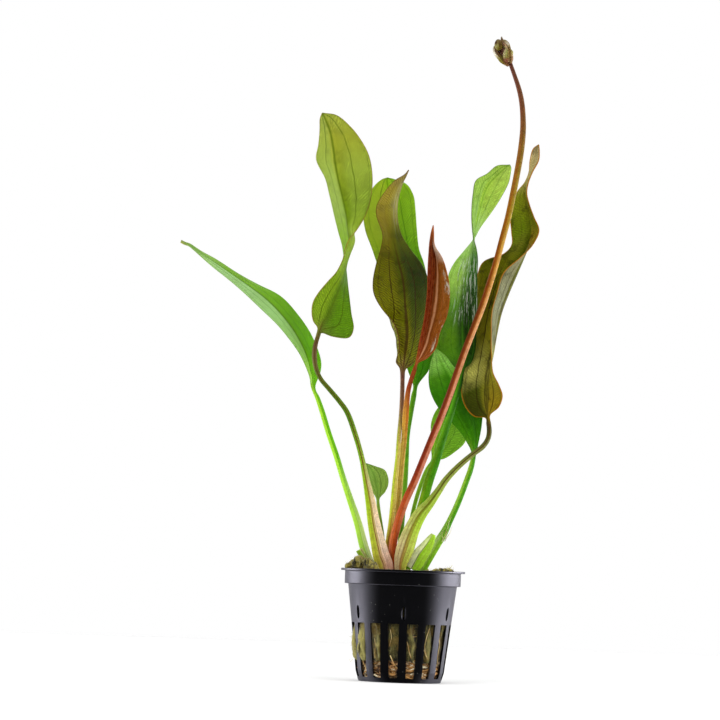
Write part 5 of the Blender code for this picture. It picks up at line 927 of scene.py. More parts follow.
def leaf_material(name, look, settings):
    """Leaf skin from its attributes: place (offset, reach, across), half width, blade, under, tone."""
    mat, n = new_material(name)
    tone = n.attribute("tone", "Color")
    half, blade, under = (n.attribute(key) for key in ("half_width", "blade", "under"))
    offset, reach, across = n.separate(n.attribute("place", "Vector"))
    out, stalk = abs(across), 1.0 - blade
    skin = n.combine(offset, reach, under * 7.0)
    warp = n.noise(skin, 0.16, 3) - 0.5
    cloud, fine = n.noise(skin, 0.45, 5, 0.6), n.noise(skin, 3.2, 3, 0.6)
    streak = n.noise(n.combine(across * 5.0, reach * 0.035, under), 1.0, 4, 0.65)

    def faint(near, far):
        """Falls from one strength to another where the leaf's veins grow faint."""
        return n.step(reach, look["fade"], look["fade"] + FADE_LENGTH, near, far)

    # Main veins, midrib, cross veins, net, dots and margin line
    outward = n.step(out, 0.08, 0.16)
    lane = n.middle(out * look["veins"] + warp * 0.22 + 0.5) * half / look["veins"]
    vein = n.line(lane, 0.04, 0.26) * n.step(out, 0.5, 0.95, 1.0, 0.45) * blade * outward * faint(1.0, 0.3)
    rib = n.line(offset, 0.18, 0.45) * blade * faint(1.0, 0.3)
    rung = n.middle((reach - abs(offset) * 0.9) * 0.9 + warp * 4.5)
    cross = n.line(rung * 1.1, 0.05, 0.35) * n.step(cloud, 0.4, 0.6, 0.2, 1.0) * blade * outward
    net = n.step(n.cells(skin, 0.85, "DISTANCE_TO_EDGE"), 0.02, 0.13, 1.0, 0.0) * blade
    dot = n.step(n.cells(skin, 0.5), 0.12, 0.24, 1.0, 0.0) * n.step(cloud, 0.45, 0.55)
    margin = n.line((1.0 - out) * half, look["rim"] * 0.4, look["rim"]) * blade

    # Light and dark within the tone
    uneven = 0.3 + 0.8 * look["grain"]
    bright = cloud * uneven + fine * (1.2 * look["grain"]) + (1.02 - 0.6 * look["grain"] - 0.5 * uneven)
    bright *= (abs(rung) - 0.25) * blade * (look["hatch"] * 1.3) + 1.0
    bright *= 1.0 - n.step(n.noise(skin, 0.12, 4, 0.6), 0.52, 0.64) * (look["mottle"] * 0.55) * blade
    warm = n.mix(0.5, tone, (0.62, 0.62, 0.30, 1), "MULTIPLY")
    colour = n.mix(n.step(n.noise(skin, 0.07, 3), 0.3, 0.7, 0.0, 0.5), tone, warm)
    grey = n.add("ShaderNodeCombineColor", {0: bright, 1: bright, 2: bright})
    colour = n.mix(1.0, colour, grey, "MULTIPLY")

    # Marks on the blade, then on the stalk
    strength, vein_colour, line_colour = look["strength"], rgba(look["vein"]), rgba(look["line"])
    colour = n.coats(colour, (vein * strength, vein_colour), (rib * (strength * 0.9), vein_colour),
                     (cross * (strength * look["hatch"]), vein_colour),
                     (net * (look["net"] * 0.5), vein_colour),
                     (dot * (look["dots"] * 0.6), rgba((75, 50, 20))))
    for spot, width, strength, shade in look["bands"]:
        mark = n.line(across + warp * 0.12 - spot, width * 0.4, width) * blade
        mark *= faint(strength, 0.2 * strength) * n.step(cloud, 0.3, 0.5, 0.6, 1.0)
        colour = n.mix(mark, colour, rgba(shade))
    for spot, width, strength in look["lines"]:
        mark = n.line(across + (streak - 0.5) * 0.25 - spot, width * 0.5, width) * stalk
        colour = n.mix(mark * n.step(cloud, 0.3, 0.6, 0.4 * strength, strength), colour, line_colour)
    stripe = n.step(streak, 0.46, 0.66) * (stalk * look["stripe"])
    freckle = n.step(n.noise(skin, 1.1, 3, 0.7, (1, 0.5, 1)), 0.55, 0.64) * (stalk * (look["speck"] * 0.8))
    colour = n.coats(colour, (stripe, n.mix(0.6, colour, line_colour)), (freckle, line_colour))
    # Painted highlights: whitish streaks and patches of reflected light painted into the colour.
    if look["painted_highlights"]:
        low, high, strength, lanes, inner, outer = look["painted_highlights"]
        thread = n.step(n.noise(n.combine(across * lanes, reach * 0.12, under), 1.0, 5, 0.7), 0.51, 0.62)
        zone = n.step(reach, low, low + 8) * n.step(reach, high - 10, high, 1.0, 0.0)
        painted_highlights = thread * zone * n.step(across, inner, outer) * strength
        colour = n.mix(painted_highlights, colour, rgba((205, 215, 195)))
    colour = n.mix(margin * look["margin_strength"], colour, rgba(look["margin"]))

    height = vein * -0.9 - cross * 0.35 - net * 0.22 + fine * 0.22 + cloud * 0.5 + streak * stalk * 1.6
    normal = n.bump(height * (1.0 - under * 1.7), settings.vein_depth * look["grain"])
    rough = (cloud - 0.5) * 0.3 + look["rough"] + under * 0.14
    gloss = n.skin(colour, rough, normal, specular_ior_level=look["shine"], specular_tint=(1, 1, 0.75, 1))
    through = n.add("ShaderNodeBsdfTranslucent", {"Color": colour, "Normal": normal})
    n.end(n.add("ShaderNodeMixShader", {0: look["glow"], 1: gloss, 2: through}))
    return mat


# ---------------------------------------------------------------- meshes

def unit(vectors):
    lengths = np.linalg.norm(vectors, axis=-1, keepdims=True)
    return vectors / np.where(lengths == 0, 1.0, lengths)


def smoothstep(x, low, high):
    t = np.clip((x - low) / (high - low), 0.0, 1.0)
    return t * t * (3 - 2 * t)


def seen(x, z, depth):
    """The point that shows at (x, z) from the front and lies this far behind the plane y = 0."""
    flat = np.array([x, 0.0, z])
    return VIEWPOINT + (flat - VIEWPOINT) * (1.0 - depth / VIEWPOINT[1])


def mesh_object(name, points, faces, material=None, smooth=True):
    """Object from points in millimetres."""
    mesh = bpy.data.meshes.new(name)
    mesh.from_pydata((np.asarray(points) * MM).tolist(), [], faces)
    mesh.update()
    if smooth:
        mesh.shade_smooth()
    if material:
        mesh.materials.append(material)
    item = bpy.data.objects.new(name, mesh)
    bpy.context.scene.collection.objects.link(item)
    return item


def finish_piece(item, slot, *nodes):
    """Fix a piece to the plant's body, in place of its nodes."""
    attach(item, "root")
    if nodes:
        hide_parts(*nodes)


def bake_modifiers(item):
    """Turn what the modifiers make into the object's own mesh."""
    graph = bpy.context.evaluated_depsgraph_get()
    mesh = bpy.data.meshes.new_from_object(item.evaluated_get(graph))
    item.modifiers.clear()
    item.data = mesh


def edit_mesh(item, change):
    work = bmesh.new()
    work.from_mesh(item.data)
    change(work)
    work.to_mesh(item.data)
    work.free()


def face_outwards(work):
    bmesh.ops.recalc_face_normals(work, faces=work.faces)


def ring(radius, z, count):
    """Level ring of points about the axis; the radius may differ from point to point."""
    angles = 2 * pi * np.arange(count) / count
    return np.column_stack([np.multiply(radius, np.cos(angles)), np.multiply(radius, np.sin(angles)),
                            np.full(count, z)])


def bands(levels, count):
    """Faces between rings of points, each ring joined to the next."""
    return [(i + j, i + (j + 1) % count, i + count + (j + 1) % count, i + count + j)
            for i in range(0, (levels - 1) * count, count) for j in range(count)]


def capped(rings, foot, top):
    """Points and faces of a closed skin over rings, with a point at either end."""
    count, last = len(rings[0]), len(rings) - 1
    points = np.vstack([[foot], *rings, [top]])
    faces = []
    for j in range(count):
        k = (j + 1) % count
        faces += [(0, 1 + k, 1 + j), (len(points) - 1, 1 + last * count + j, 1 + last * count + k)]
        faces += [(i + j, i + k, i + count + k, i + count + j) for i in range(1, 1 + last * count, count)]
    return points, faces


def blob(centre, radii, steps=12):
    """Points and faces of an ellipsoid."""
    (x, y, z), (a, b, c) = centre, radii
    rings = [[(x + a * sin(polar) * cos(turn), y + b * sin(polar) * sin(turn), z - c * cos(polar))
              for turn in pi * np.arange(2 * steps) / steps] for polar in pi * np.arange(1, steps) / steps]
    return capped(rings, (x, y, z - c), (x, y, z + c))


def tube(path, radii, sides):
    """Points and faces of a closed tube round a path."""
    path = np.asarray(path, float)
    along = unit(np.gradient(path, axis=0))
    start = np.cross(along[0], (0.0, 0.0, 1.0))
    side = unit(start if np.linalg.norm(start) > 1e-6 else np.array([1.0, 0.0, 0.0]))
    angles = 2 * pi * np.arange(sides) / sides
    points = []
    for centre, radius, direction in zip(path, radii, along):
        side = unit(side - direction * np.dot(side, direction))
        other = np.cross(direction, side)
        points.extend(centre + radius * (side * cos(a) + other * sin(a)) for a in angles)
    ends = [tuple(reversed(range(sides))), tuple(range(len(points) - sides, len(points)))]
    return np.array(points), bands(len(path), sides) + ends


def join(parts):
    points, faces = [], []
    for some_points, some_faces in parts:
        first = len(points)
        points.extend(map(tuple, some_points))
        faces.extend(tuple(first + i for i in face) for face in some_faces)
    return points, faces


def roughen(item, octaves, above=None, more=()):
    """Move the vertices along their normals by layered noise, each layer (size, height) in mm.

    Above a height other layers may take over; below it the noise is drawn out into long upright
    folds. A negative height folds the noise into sharp ridges.
    """
    mesh = item.data
    moved = []
    for vertex in mesh.vertices:
        place = vertex.co / MM
        layers = octaves if above is None or place.z < above else more
        if above is not None and place.z < above:
            place.z *= 0.35
        rise = sum(height * noise.noise(place / size) if height > 0 else
                   height * (2 * abs(noise.noise(place / size)) - 0.4) for size, height in layers)
        moved.extend(vertex.co + vertex.normal * rise * MM)
    mesh.vertices.foreach_set("co", moved)
    mesh.update()


# ---------------------------------------------------------------- geometry node trees

def new_tree(name, **sockets):
    """Geometry node tree, its nodes and what its inputs give: a geometry, then the named ones."""
    tree = bpy.data.node_groups.new(name, "GeometryNodeTree")
    tree.interface.new_socket("Geometry", in_out="INPUT", socket_type="NodeSocketGeometry")
    tree.interface.new_socket("Geometry", in_out="OUTPUT", socket_type="NodeSocketGeometry")
    for kind, labels in sockets.items():
        for label in labels:
            tree.interface.new_socket(label, in_out="INPUT", socket_type="NodeSocket" + kind)
    n = Nodes(tree)
    return tree, n, {socket.name: Value(n, socket) for socket in n.node("NodeGroupInput").outputs}


def end_tree(n, given, geometry):
    """Give the result the tree's material and hand it out."""
    skin = n.add("GeometryNodeSetMaterial", {"Geometry": geometry, "Material": given["Material"]})
    n.put(n.node("NodeGroupOutput").inputs[0], skin)


def lay_strands(n, given, points, rotation, size):
    """End a tree with strands picked from its collection, one on each point."""
    shapes = n.add("GeometryNodeCollectionInfo", {"Collection": given["Strands"], "Separate Children": True,
                                                  "Reset Children": True})
    laid = n.add("GeometryNodeInstanceOnPoints", {"Points": points, "Instance": shapes, "Pick Instance": True,
                                                  "Rotation": rotation, "Scale": size})
    end_tree(n, given, n.add("GeometryNodeRealizeInstances", {0: laid}))


def ring_of_instances(n, shape, count, turn, step_share):
    """Instances of a shape turned about the axis, evenly spaced."""
    line = n.add("GeometryNodeMeshLine", {"Count": count, "Offset": (0, 0, 0)})
    points = n.add("GeometryNodeMeshToPoints", {"Mesh": line})
    angle = (n.add("GeometryNodeInputIndex") + step_share) * n.math("DIVIDE", 2 * pi, count) + turn
    return n.add("GeometryNodeInstanceOnPoints", {"Points": points, "Instance": shape,
                                                  "Rotation": n.combine(z=angle)})


def openings_tree():
    """Cuts rings of slots, slits and floor holes out of a turned pot."""
    tree, n, given = new_tree("pot openings", Object=("Slot", "Slit", "Floor hole"),
                              Int=("Slots", "Slits", "Floor holes"), Float=("First rib",),
                              Material=("Material",))
    together = n.node("GeometryNodeJoinGeometry")
    for label, share, turn in (("Slot", 0.5, given["First rib"]), ("Slit", 0.0, given["First rib"]),
                               ("Floor hole", 0.0, 0.0)):
        shape = n.add("GeometryNodeObjectInfo", {"Object": given[label]}, "Geometry")
        n.put(together.inputs[0], ring_of_instances(n, shape, given[label + "s"], turn, share))
    solid = n.add("GeometryNodeRealizeInstances", {0: Value(n, together.outputs[0])})
    cut = n.node("GeometryNodeMeshBoolean", operation="DIFFERENCE", solver="EXACT")
    n.put(cut.inputs["Mesh 1"], given["Geometry"])
    n.put(cut.inputs["Mesh 2"], solid)
    end_tree(n, given, Value(n, cut.outputs[0]))
    return tree


def scatter_tree():
    """Strands from a collection strewn over a surface, at random angles and sizes."""
    tree, n, given = new_tree("strewn strands", Collection=("Strands",), Int=("Seed",),
                              Float=("Density", "Smallest", "Largest", "Tilt"), Material=("Material",))
    seed, tilt = given["Seed"], given["Tilt"]
    spread = n.node("GeometryNodeDistributePointsOnFaces", {"Mesh": given["Geometry"], "Seed": seed,
                                                            "Density": given["Density"]})
    low = tilt * -1.0
    lean = n.random_vector(n.combine(low, low), n.combine(tilt, tilt, 6.283), seed + 5)
    turn = n.add("FunctionNodeRotateRotation", {0: Value(n, spread.outputs["Rotation"]), 1: lean},
                 rotation_space="LOCAL")
    lay_strands(n, given, Value(n, spread.outputs["Points"]), turn,
                n.random(given["Smallest"], given["Largest"], seed + 9))
    return tree


def ring_tree():
    """Strands from a collection laid at random places along the inside of the pot."""
    tree, n, given = new_tree("ringed strands", Collection=("Strands",), Int=("Count", "Seed"),
                              Float=("Inner", "Outer", "Foot", "Top", "Tilt"), Material=("Material",))
    seed, tilt = given["Seed"], given["Tilt"]
    angle, radius, height = n.separate(n.random_vector(n.combine(0.0, given["Inner"], given["Foot"]),
                                                       n.combine(2 * pi, given["Outer"], given["Top"]), seed))
    position = n.combine(radius * n.math("COSINE", angle), radius * n.math("SINE", angle), height)
    points = n.add("GeometryNodePoints", {"Count": given["Count"], "Position": position})
    points = n.add("GeometryNodeStoreNamedAttribute", {"Geometry": points, "Name": "turn", "Value": angle},
                   data_type="FLOAT", domain="POINT")
    turn = n.add("GeometryNodeInputNamedAttribute", {"Name": "turn"}, data_type="FLOAT")
    rotation = n.combine(x=n.random(tilt * -1.0, tilt, seed + 3), z=turn)
    lay_strands(n, given, points, rotation, n.random(0.75, 1.25, seed + 7))
    return tree


def run_tree(item, tree, values):
    """Give an object a node tree with its values, and keep what it makes as a mesh."""
    keys = {socket.name: socket.identifier for socket in tree.interface.items_tree}
    modifier = item.modifiers.new(tree.name, "NODES")
    modifier.node_group = tree
    for label, value in values.items():
        modifier[keys[label]] = value
    bake_modifiers(item)
    if not item.data.polygons:
        raise RuntimeError(f"{tree.name} made nothing")


def strand_collection(name, strands):
    """Collection of strand shapes, out of sight, for a node tree to copy."""
    group = bpy.data.collections.new(name)
    for i, (points, faces) in enumerate(strands):
        item = mesh_object(f"{name}_{i}", points, faces)
        bpy.context.scene.collection.objects.unlink(item)
        group.objects.link(item)
    return group


def drop_collection(group):
    for item in list(group.objects):
        bpy.data.objects.remove(item, do_unlink=True)
    bpy.data.collections.remove(group)


# ---------------------------------------------------------------- pot

def outer_radius(z):
    """Radius of the pot's tapering wall."""
    return float(np.interp(z, (0, BODY_LOW, SLOT_TOP, COLLAR_FOOT),
                           (FOOT_RADIUS, BODY_LOW_RADIUS, SLOT_TOP_RADIUS, BODY_TOP_RADIUS)))


def inner_radius(z):
    return (COLLAR_RADIUS if z > COLLAR_FOOT + WALL else outer_radius(z)) - WALL


def rounded(corners, radius, shares=(0, 1 / 3, 2 / 3, 1), closed=False):
    """Outline with its corners rounded off by curves with points at the given shares."""
    result = []
    for i, corner in enumerate(corners):
        if not closed and i in (0, len(corners) - 1):
            result.append(corner)
            continue
        here, before, after = (np.array(corners[k % len(corners)], float) for k in (i, i - 1, i + 1))
        reach = min(radius, *(0.4 * np.linalg.norm(other - here) for other in (before, after)))
        a, b = here + unit(before - here) * reach, here + unit(after - here) * reach
        result += [tuple((1 - t) ** 2 * a + 2 * t * (1 - t) * here + t * t * b) for t in shares]
    return result


def pot_outline():
    """Half section of the pot: up its outside, over the flange and down its inside."""
    collar_top = POT_HEIGHT - FLANGE_THICK
    ledge = COLLAR_FOOT + WALL
    corners = [(0, 0), (FOOT_RADIUS, 0), (BODY_LOW_RADIUS, BODY_LOW), (SLOT_TOP_RADIUS, SLOT_TOP),
               (BODY_TOP_RADIUS, COLLAR_FOOT), (COLLAR_RADIUS, COLLAR_FOOT), (COLLAR_RADIUS, collar_top),
               (FLANGE_RADIUS, collar_top), (FLANGE_RADIUS, POT_HEIGHT), (COLLAR_RADIUS - WALL, POT_HEIGHT),
               (COLLAR_RADIUS - WALL, ledge), (inner_radius(COLLAR_FOOT), ledge),
               (inner_radius(SLOT_TOP), SLOT_TOP), (inner_radius(BODY_LOW), BODY_LOW),
               (inner_radius(FLOOR_THICK), FLOOR_THICK), (0, FLOOR_THICK)]
    return rounded(corners, ROUNDING)


def prism(name, outline, stations, base=lambda z: 0.0):
    """Prism along X with an upright (side, z) outline.

    Stations are (radius, width share); base(z) is added to the radius.
    """
    points = [(base(z) + radius, side * share, z) for radius, share in stations for side, z in outline]
    n = len(outline)
    last = n * (len(stations) - 1)
    faces = [tuple(range(n)), tuple(reversed(range(last, last + n)))]
    faces += [(first + (j + 1) % n, first + j, first + n + j, first + n + (j + 1) % n)
              for first in range(0, last, n) for j in range(n)]
    item = mesh_object(name, points, faces, smooth=False)
    edit_mesh(item, face_outwards)
    return item


def opening(foot, top, half_foot, half_top, radius):
    """Four-sided outline with round corners."""
    return rounded([(-half_foot, foot), (half_foot, foot), (half_top, top), (-half_top, top)], radius,
                   (0, 0.33, 0.67, 1), closed=True)


def make_pot(settings):
    """Turned pot whose openings are cut by a node tree; the slits flare outwards, which breaks their cut
    edges.
    """
    outline = pot_outline()
    rings = [ring(r, z, settings.segments) for r, z in outline[1:-1]]
    pot = mesh_object("slotted_pot", *capped(rings, (0, 0, 0), (0, 0, FLOOR_THICK)))
    slot = opening(SLOT_FOOT, SLOT_TOP, SLOT_HALF_FOOT, SLOT_HALF_TOP, SLOT_ROUNDING)
    hole = opening(-1, 2, FLOOR_HOLE_HALF, FLOOR_HOLE_HALF, FLOOR_HOLE_ROUNDING)
    middle = (SLIT_FOOT + SLIT_TOP) / 2
    side = [(SLIT_HALF * 0.75, middle - 2.4), (SLIT_HALF, middle - 1.0), (SLIT_HALF, middle + 1.0),
            (SLIT_HALF * 0.75, middle + 2.4)]
    slit = [(0, SLIT_FOOT), *side, (0, SLIT_TOP), *((-x, z) for x, z in reversed(side))]
    cutters = {"Slot": prism("slot_shape", slot, ((FOOT_RADIUS - 4, 1), (FLANGE_RADIUS, 1))),
               "Slit": prism("slit_shape", slit, ((-3, 0.75), (-0.5, 0.75), (0.3, 2.35)), outer_radius),
               "Floor hole": prism("floor_hole_shape", hole, ((FLOOR_HOLE_IN, 1), (FLOOR_HOLE_OUT, 1)))}
    run_tree(pot, openings_tree(), {
        **cutters, "Slots": SLOTS, "Slits": SLITS, "Floor holes": FLOOR_HOLES,
        "First rib": radians(FIRST_RIB_ANGLE), "Material": plastic_material(settings)})
    for item in cutters.values():
        bpy.data.objects.remove(item, do_unlink=True)
    pot.data.shade_smooth()
    pot.data.set_sharp_from_angle(angle=radians(SHARP_ANGLE))
    finish_piece(pot, "pot", "net_pot")


# ---------------------------------------------------------------- filling

def wool_radius(angle, z):
    """Radius of the plug's side, which swells into some slots."""
    share = float(np.interp(z, BULGE_HEIGHTS, BULGE_SHARES))
    swell = 0.0
    for i in range(SLOTS):
        middle = radians(FIRST_RIB_ANGLE + 360 * (i + 0.5) / SLOTS)
        turn = abs((angle - middle + pi) % (2 * pi) - pi)
        reach = BULGES.get(i, OTHER_BULGES) * share
        swell = max(swell, reach * max(0.0, 1 - (turn / radians(BULGE_HALF_ANGLE)) ** 4))
    recess = SLIT_RECESS * float(smoothstep(z, 26.5, 28) * smoothstep(36 - z, 0, 1.5))
    return inner_radius(z) - GAP + swell - recess


def plug_grid():
    """Points and faces of the plug before it is roughened."""
    angles = 2 * pi * np.arange(PLUG_COLUMNS) / PLUG_COLUMNS
    rings = []
    for z in (PLUG_FOOT, *np.linspace(10, 44.4, 40), 44.65, 47, PLUG_TOP - 0.4):
        radius = (COLLAR_RADIUS - WALL - GAP if z > COLLAR_FOOT + WALL + GAP else
                  [wool_radius(a, min(z, COLLAR_FOOT)) for a in angles])
        rings.append(ring(radius, z, PLUG_COLUMNS))
    for r in np.linspace(24.0, 1.0, 24):
        rise = float(smoothstep(r, DISH_RADIUS, DISH_RADIUS + 2.5))
        rings.append(ring(r, PLUG_DISH + (PLUG_TOP - PLUG_DISH) * rise, PLUG_COLUMNS))
    return capped(rings, (0, 0, PLUG_FOOT), (0, 0, PLUG_DISH))


def lies_open(place):
    """True above the pot's mouth and behind its slots, False behind plastic."""
    x, y, z = place
    step = 2 * pi / SLOTS
    turn = (atan2(y, x) - radians(FIRST_RIB_ANGLE)) % step - step / 2
    return z > PLUG_TOP + 0.4 or SLOT_FOOT < z < SLOT_TOP and abs(turn) * hypot(x, y) < SLOT_HALF_FOOT


def hold_in(item):
    """Push wool that would stand in the plastic back inside the wall."""
    for vertex in item.data.vertices:
        x, y, z = vertex.co / MM
        wall = inner_radius(z) - WOOL_CLEARANCE
        if not lies_open((x, y, z)) and hypot(x, y) > wall:
            vertex.co.xy *= wall / hypot(x, y)
    item.data.update()


def drop_hidden(work):
    """Delete the faces that lie behind plastic."""
    hidden = [face for face in work.faces if not lies_open(face.calc_center_median() / MM)]
    bmesh.ops.delete(work, geom=hidden, context="FACES")


def make_rockwool(settings):
    """Plug and torn lumps, joined by a voxel remesh and roughened, and the fibres that stand off them."""
    plug = mesh_object("rockwool", *join([plug_grid(), *(blob(lump[:3], lump[3:]) for lump in LUMPS)]))
    skin = plug.modifiers.new("one skin", "REMESH")
    skin.mode = "VOXEL"
    skin.voxel_size = settings.wool_voxel
    bake_modifiers(plug)
    roughen(plug, WOOL_FOLDS, OPEN_WOOL, TORN_FOLDS)
    hold_in(plug)
    plug.data.shade_smooth()
    plug.data.materials.clear()
    plug.data.materials.append(wool_material(settings))
    finish_piece(plug, "rockwool", "rockwool_plug")

    fibres = plug.copy()
    fibres.name = "rockwool_fibres"
    fibres.data = plug.data.copy()
    bpy.context.scene.collection.objects.link(fibres)
    edit_mesh(fibres, drop_hidden)
    rng = np.random.default_rng(4)
    steps = np.linspace(0, 1, 5)
    strands = []
    for _ in range(6):
        bend = rng.normal(0, 0.35, 2)
        path = np.column_stack([bend[0] * steps ** 2, bend[1] * steps ** 2, WOOL_STRAND * steps - 0.25])
        strands.append(tube(path, WOOL_STRAND_RADIUS * (1.1 - steps * 0.7), 3))
    group = strand_collection("wool_strand", strands)
    run_tree(fibres, scatter_tree(), {
        "Strands": group, "Density": settings.wool_fibres, "Smallest": 0.5, "Largest": 1.3, "Tilt": 1.2,
        "Seed": 7, "Material": strand_material("wool fibres", (165, 155, 85), (88, 80, 34), 0.8)})
    drop_collection(group)
    finish_piece(fibres, "rockwool")


def keep_inside(item):
    """Press strands that reach through the pot's floor or wall back to its inner face."""
    moved = []
    for vertex in item.data.vertices:
        x, y, z = vertex.co / MM
        z = max(z, ROOT_FLOOR + 0.08 * z)
        share = min(1.0, (inner_radius(z) + ROOT_REACH) / hypot(x, y))
        moved.extend((x * share * MM, y * share * MM, z * MM))
    item.data.vertices.foreach_set("co", moved)


def make_roots(settings):
    """Coiled roots along the inside of the pot's foot."""
    rng = np.random.default_rng(11)
    steps = np.linspace(-0.5, 0.5, 22)
    strands = []
    for _ in range(ROOT_SHAPES):
        length = rng.uniform(*ROOT_LENGTHS)
        swing, phase = rng.uniform(0.4, 1.3, 2), rng.uniform(0, 6.28, 3)
        angle = steps * length / ROOT_COIL_RADIUS
        out = ROOT_COIL_RADIUS + 0.5 * np.sin(steps * 9 + phase[0])
        rise = swing[0] * np.sin(steps * 7 + phase[1]) + 0.4 * np.sin(steps * 19 + phase[2])
        path = np.column_stack([out * np.cos(angle) - ROOT_COIL_RADIUS, out * np.sin(angle), rise])
        strands.append(tube(path, np.full(len(steps), rng.uniform(*ROOT_RADII)), 6))
    group = strand_collection("root_strand", strands)
    tree = ring_tree()
    for name, count, seed, pale, deep, nodes in (
            ("roots", settings.roots, 21, (180, 130, 66), (52, 28, 10), ("root_mat",)),
            ("pale_roots", settings.roots // 2, 33, (245, 235, 198), (175, 125, 70), ())):
        item = mesh_object(name, [(0, 0, 3), (1, 0, 3), (0, 1, 3)], [(0, 1, 2)])
        run_tree(item, tree, {**ROOT_ZONE, "Strands": group, "Count": count, "Tilt": 0.16, "Seed": seed,
                              "Material": strand_material(name, pale, deep, 0.5)})
        keep_inside(item)
        item.data.shade_smooth()
        finish_piece(item, "roots", *nodes)
    drop_collection(group)


def root_path(route):
    """Smooth path through the places of a route round the pot."""
    knots = np.array([[radius * cos(radians(turn)), radius * sin(radians(turn)), z]
                      for turn, radius, z in route])
    steps = np.linspace(0, len(knots) - 1, 8 * len(knots))
    path = np.stack([np.interp(steps, range(len(knots)), knots[:, c]) for c in range(3)], axis=1)
    for _ in range(6):
        path[1:-1] = (path[:-2] + 2 * path[1:-1] + path[2:]) / 4
    return path


def make_stray_roots():
    """Long thin roots over the wool in the slots, and the fine shreds round the leaf bases."""
    for name, slot, paths, sides, material in (
            ("stray_roots", "roots", [(root_path(route), *ends) for route, *ends in STRAY_ROOTS], 6,
             ((228, 205, 140), (175, 135, 75), 0.5)),
            ("shreds", "rockwool", [([seen(*p) for p in route], *ends) for route, *ends in SHREDS], 5,
             ((225, 220, 165), (170, 140, 75), 0.7))):
        strands = [tube(path, np.linspace(thick, thin, len(path)), sides) for path, thick, thin in paths]
        finish_piece(mesh_object(name, *join(strands), strand_material(name, *material)), slot)


def make_crown():
    """Lumpy dome that the leaves stand on, flat at its foot."""
    points, faces = blob((*CROWN_CENTRE, CROWN_FOOT), (*CROWN_RADII, CROWN_TOP - CROWN_FOOT), 40)
    points = [(x, y, max(z, CROWN_FOOT)) for x, y, z in points]
    crown = mesh_object("rootstock", points, faces, crown_material())
    roughen(crown, [(2.5, 0.25), (0.9, 0.12)])
    finish_piece(crown, "crown", "crown")


# ---------------------------------------------------------------- leaves

def stalk_rows(stalk):
    """Rows of left edge, middle, right edge, thickness and two bulges along a leaf stalk."""
    middles = [seen(x, z, d) for x, z, d, _, _ in stalk]
    rows = []
    for i, (_, _, _, width, thick) in enumerate(stalk):
        along = middles[min(i + 1, len(stalk) - 1)] - middles[max(i - 1, 0)]
        side = unit(np.cross(along, (0.0, 1.0, 0.0))) * width / 2
        rows.append(np.concatenate([middles[i] + side, middles[i], middles[i] - side, [thick, 0, 0]]))
    return rows


def section(places, thick, bulges=(0.0, 0.0)):
    """Row of the same kind from the three places that show from the front."""
    return np.concatenate([*(seen(*p) for p in places), [thick, *bulges]])


def tip_row(last, tip, half_width, thick):
    """Row that closes a blade at its tip."""
    middle = seen(*tip)
    side = unit(last[0:3] - last[6:9]) * half_width
    return np.concatenate([middle + side, middle, middle - side, [thick, 0, 0]])


def blade_rows(leaf):
    """Rows for a blade, which thins out from its stalk."""
    spare = leaf["stalk"][-1][4] - BLADE_EDGE
    rows = [section(row[:3], BLADE_EDGE + spare * 0.45 ** (k + 1), *row[3:])
            for k, row in enumerate(leaf["blade"])]
    return [*rows, tip_row(rows[-1], leaf["tip"], leaf.get("blunt", 0.25), BLADE_EDGE * 0.7)]


def fine_rows(rows, steps):
    """Rows of a smooth curve through the given ones, with steps[i] of them from row i to the next."""
    rows = np.array(rows)
    moves = np.diff(rows[:, :9], axis=0).reshape(-1, 3, 3)
    knots = np.concatenate([[0], np.cumsum(np.sqrt(np.linalg.norm(moves, axis=2).mean(axis=1)))])
    slopes = np.gradient(rows, knots, axis=0)
    result = []
    for i in range(len(rows) - 1):
        span = knots[i + 1] - knots[i]
        for t in np.arange(steps[i]) / steps[i]:
            result.append((1 + 2 * t) * (1 - t) ** 2 * rows[i] + t * (1 - t) ** 2 * span * slopes[i]
                          + t * t * (3 - 2 * t) * rows[i + 1] + t * t * (t - 1) * span * slopes[i + 1])
    result.append(rows[-1])
    return np.array(result)


def sheet(rows, across):
    """Grid of points on the middle surface of a strip."""
    along = np.gradient(rows[:, 3:6], axis=0)

    def half(start, end, bulge, t):
        normal = unit(np.cross(end - start, along))
        control = (start + end) / 2 + normal * bulge[:, None] * 2
        t = t[None, :, None]
        return (start[:, None] * (1 - t) ** 2 + control[:, None] * 2 * t * (1 - t) + end[:, None] * t * t)

    left, middle, right = rows[:, 0:3], rows[:, 3:6], rows[:, 6:9]
    return np.concatenate([half(left, middle, rows[:, 10], 1 + across[across <= 0]),
                           half(middle, right, rows[:, 11], across[across > 0])], axis=1)


def tones_along(name, heights, across, blend):
    """Linear colours on the grid, blended between the leaf's few stops and over its middle."""
    levels = [stop[0] for stop in TONES[name]]
    colours = np.array([[rgba(c)[:3] for c in stop[1:]] for stop in TONES[name]])
    strip = np.stack([np.stack([np.interp(heights, levels, colours[:, side, c]) for c in range(3)], axis=1)
                      for side in range(3)], axis=1)
    left = smoothstep(-across, 0.02, blend[0])[None, :, None]
    right = smoothstep(across, 0.04, blend[1])[None, :, None]
    return strip[:, None, 1] * (1 - left - right) + strip[:, None, 0] * left + strip[:, None, 2] * right


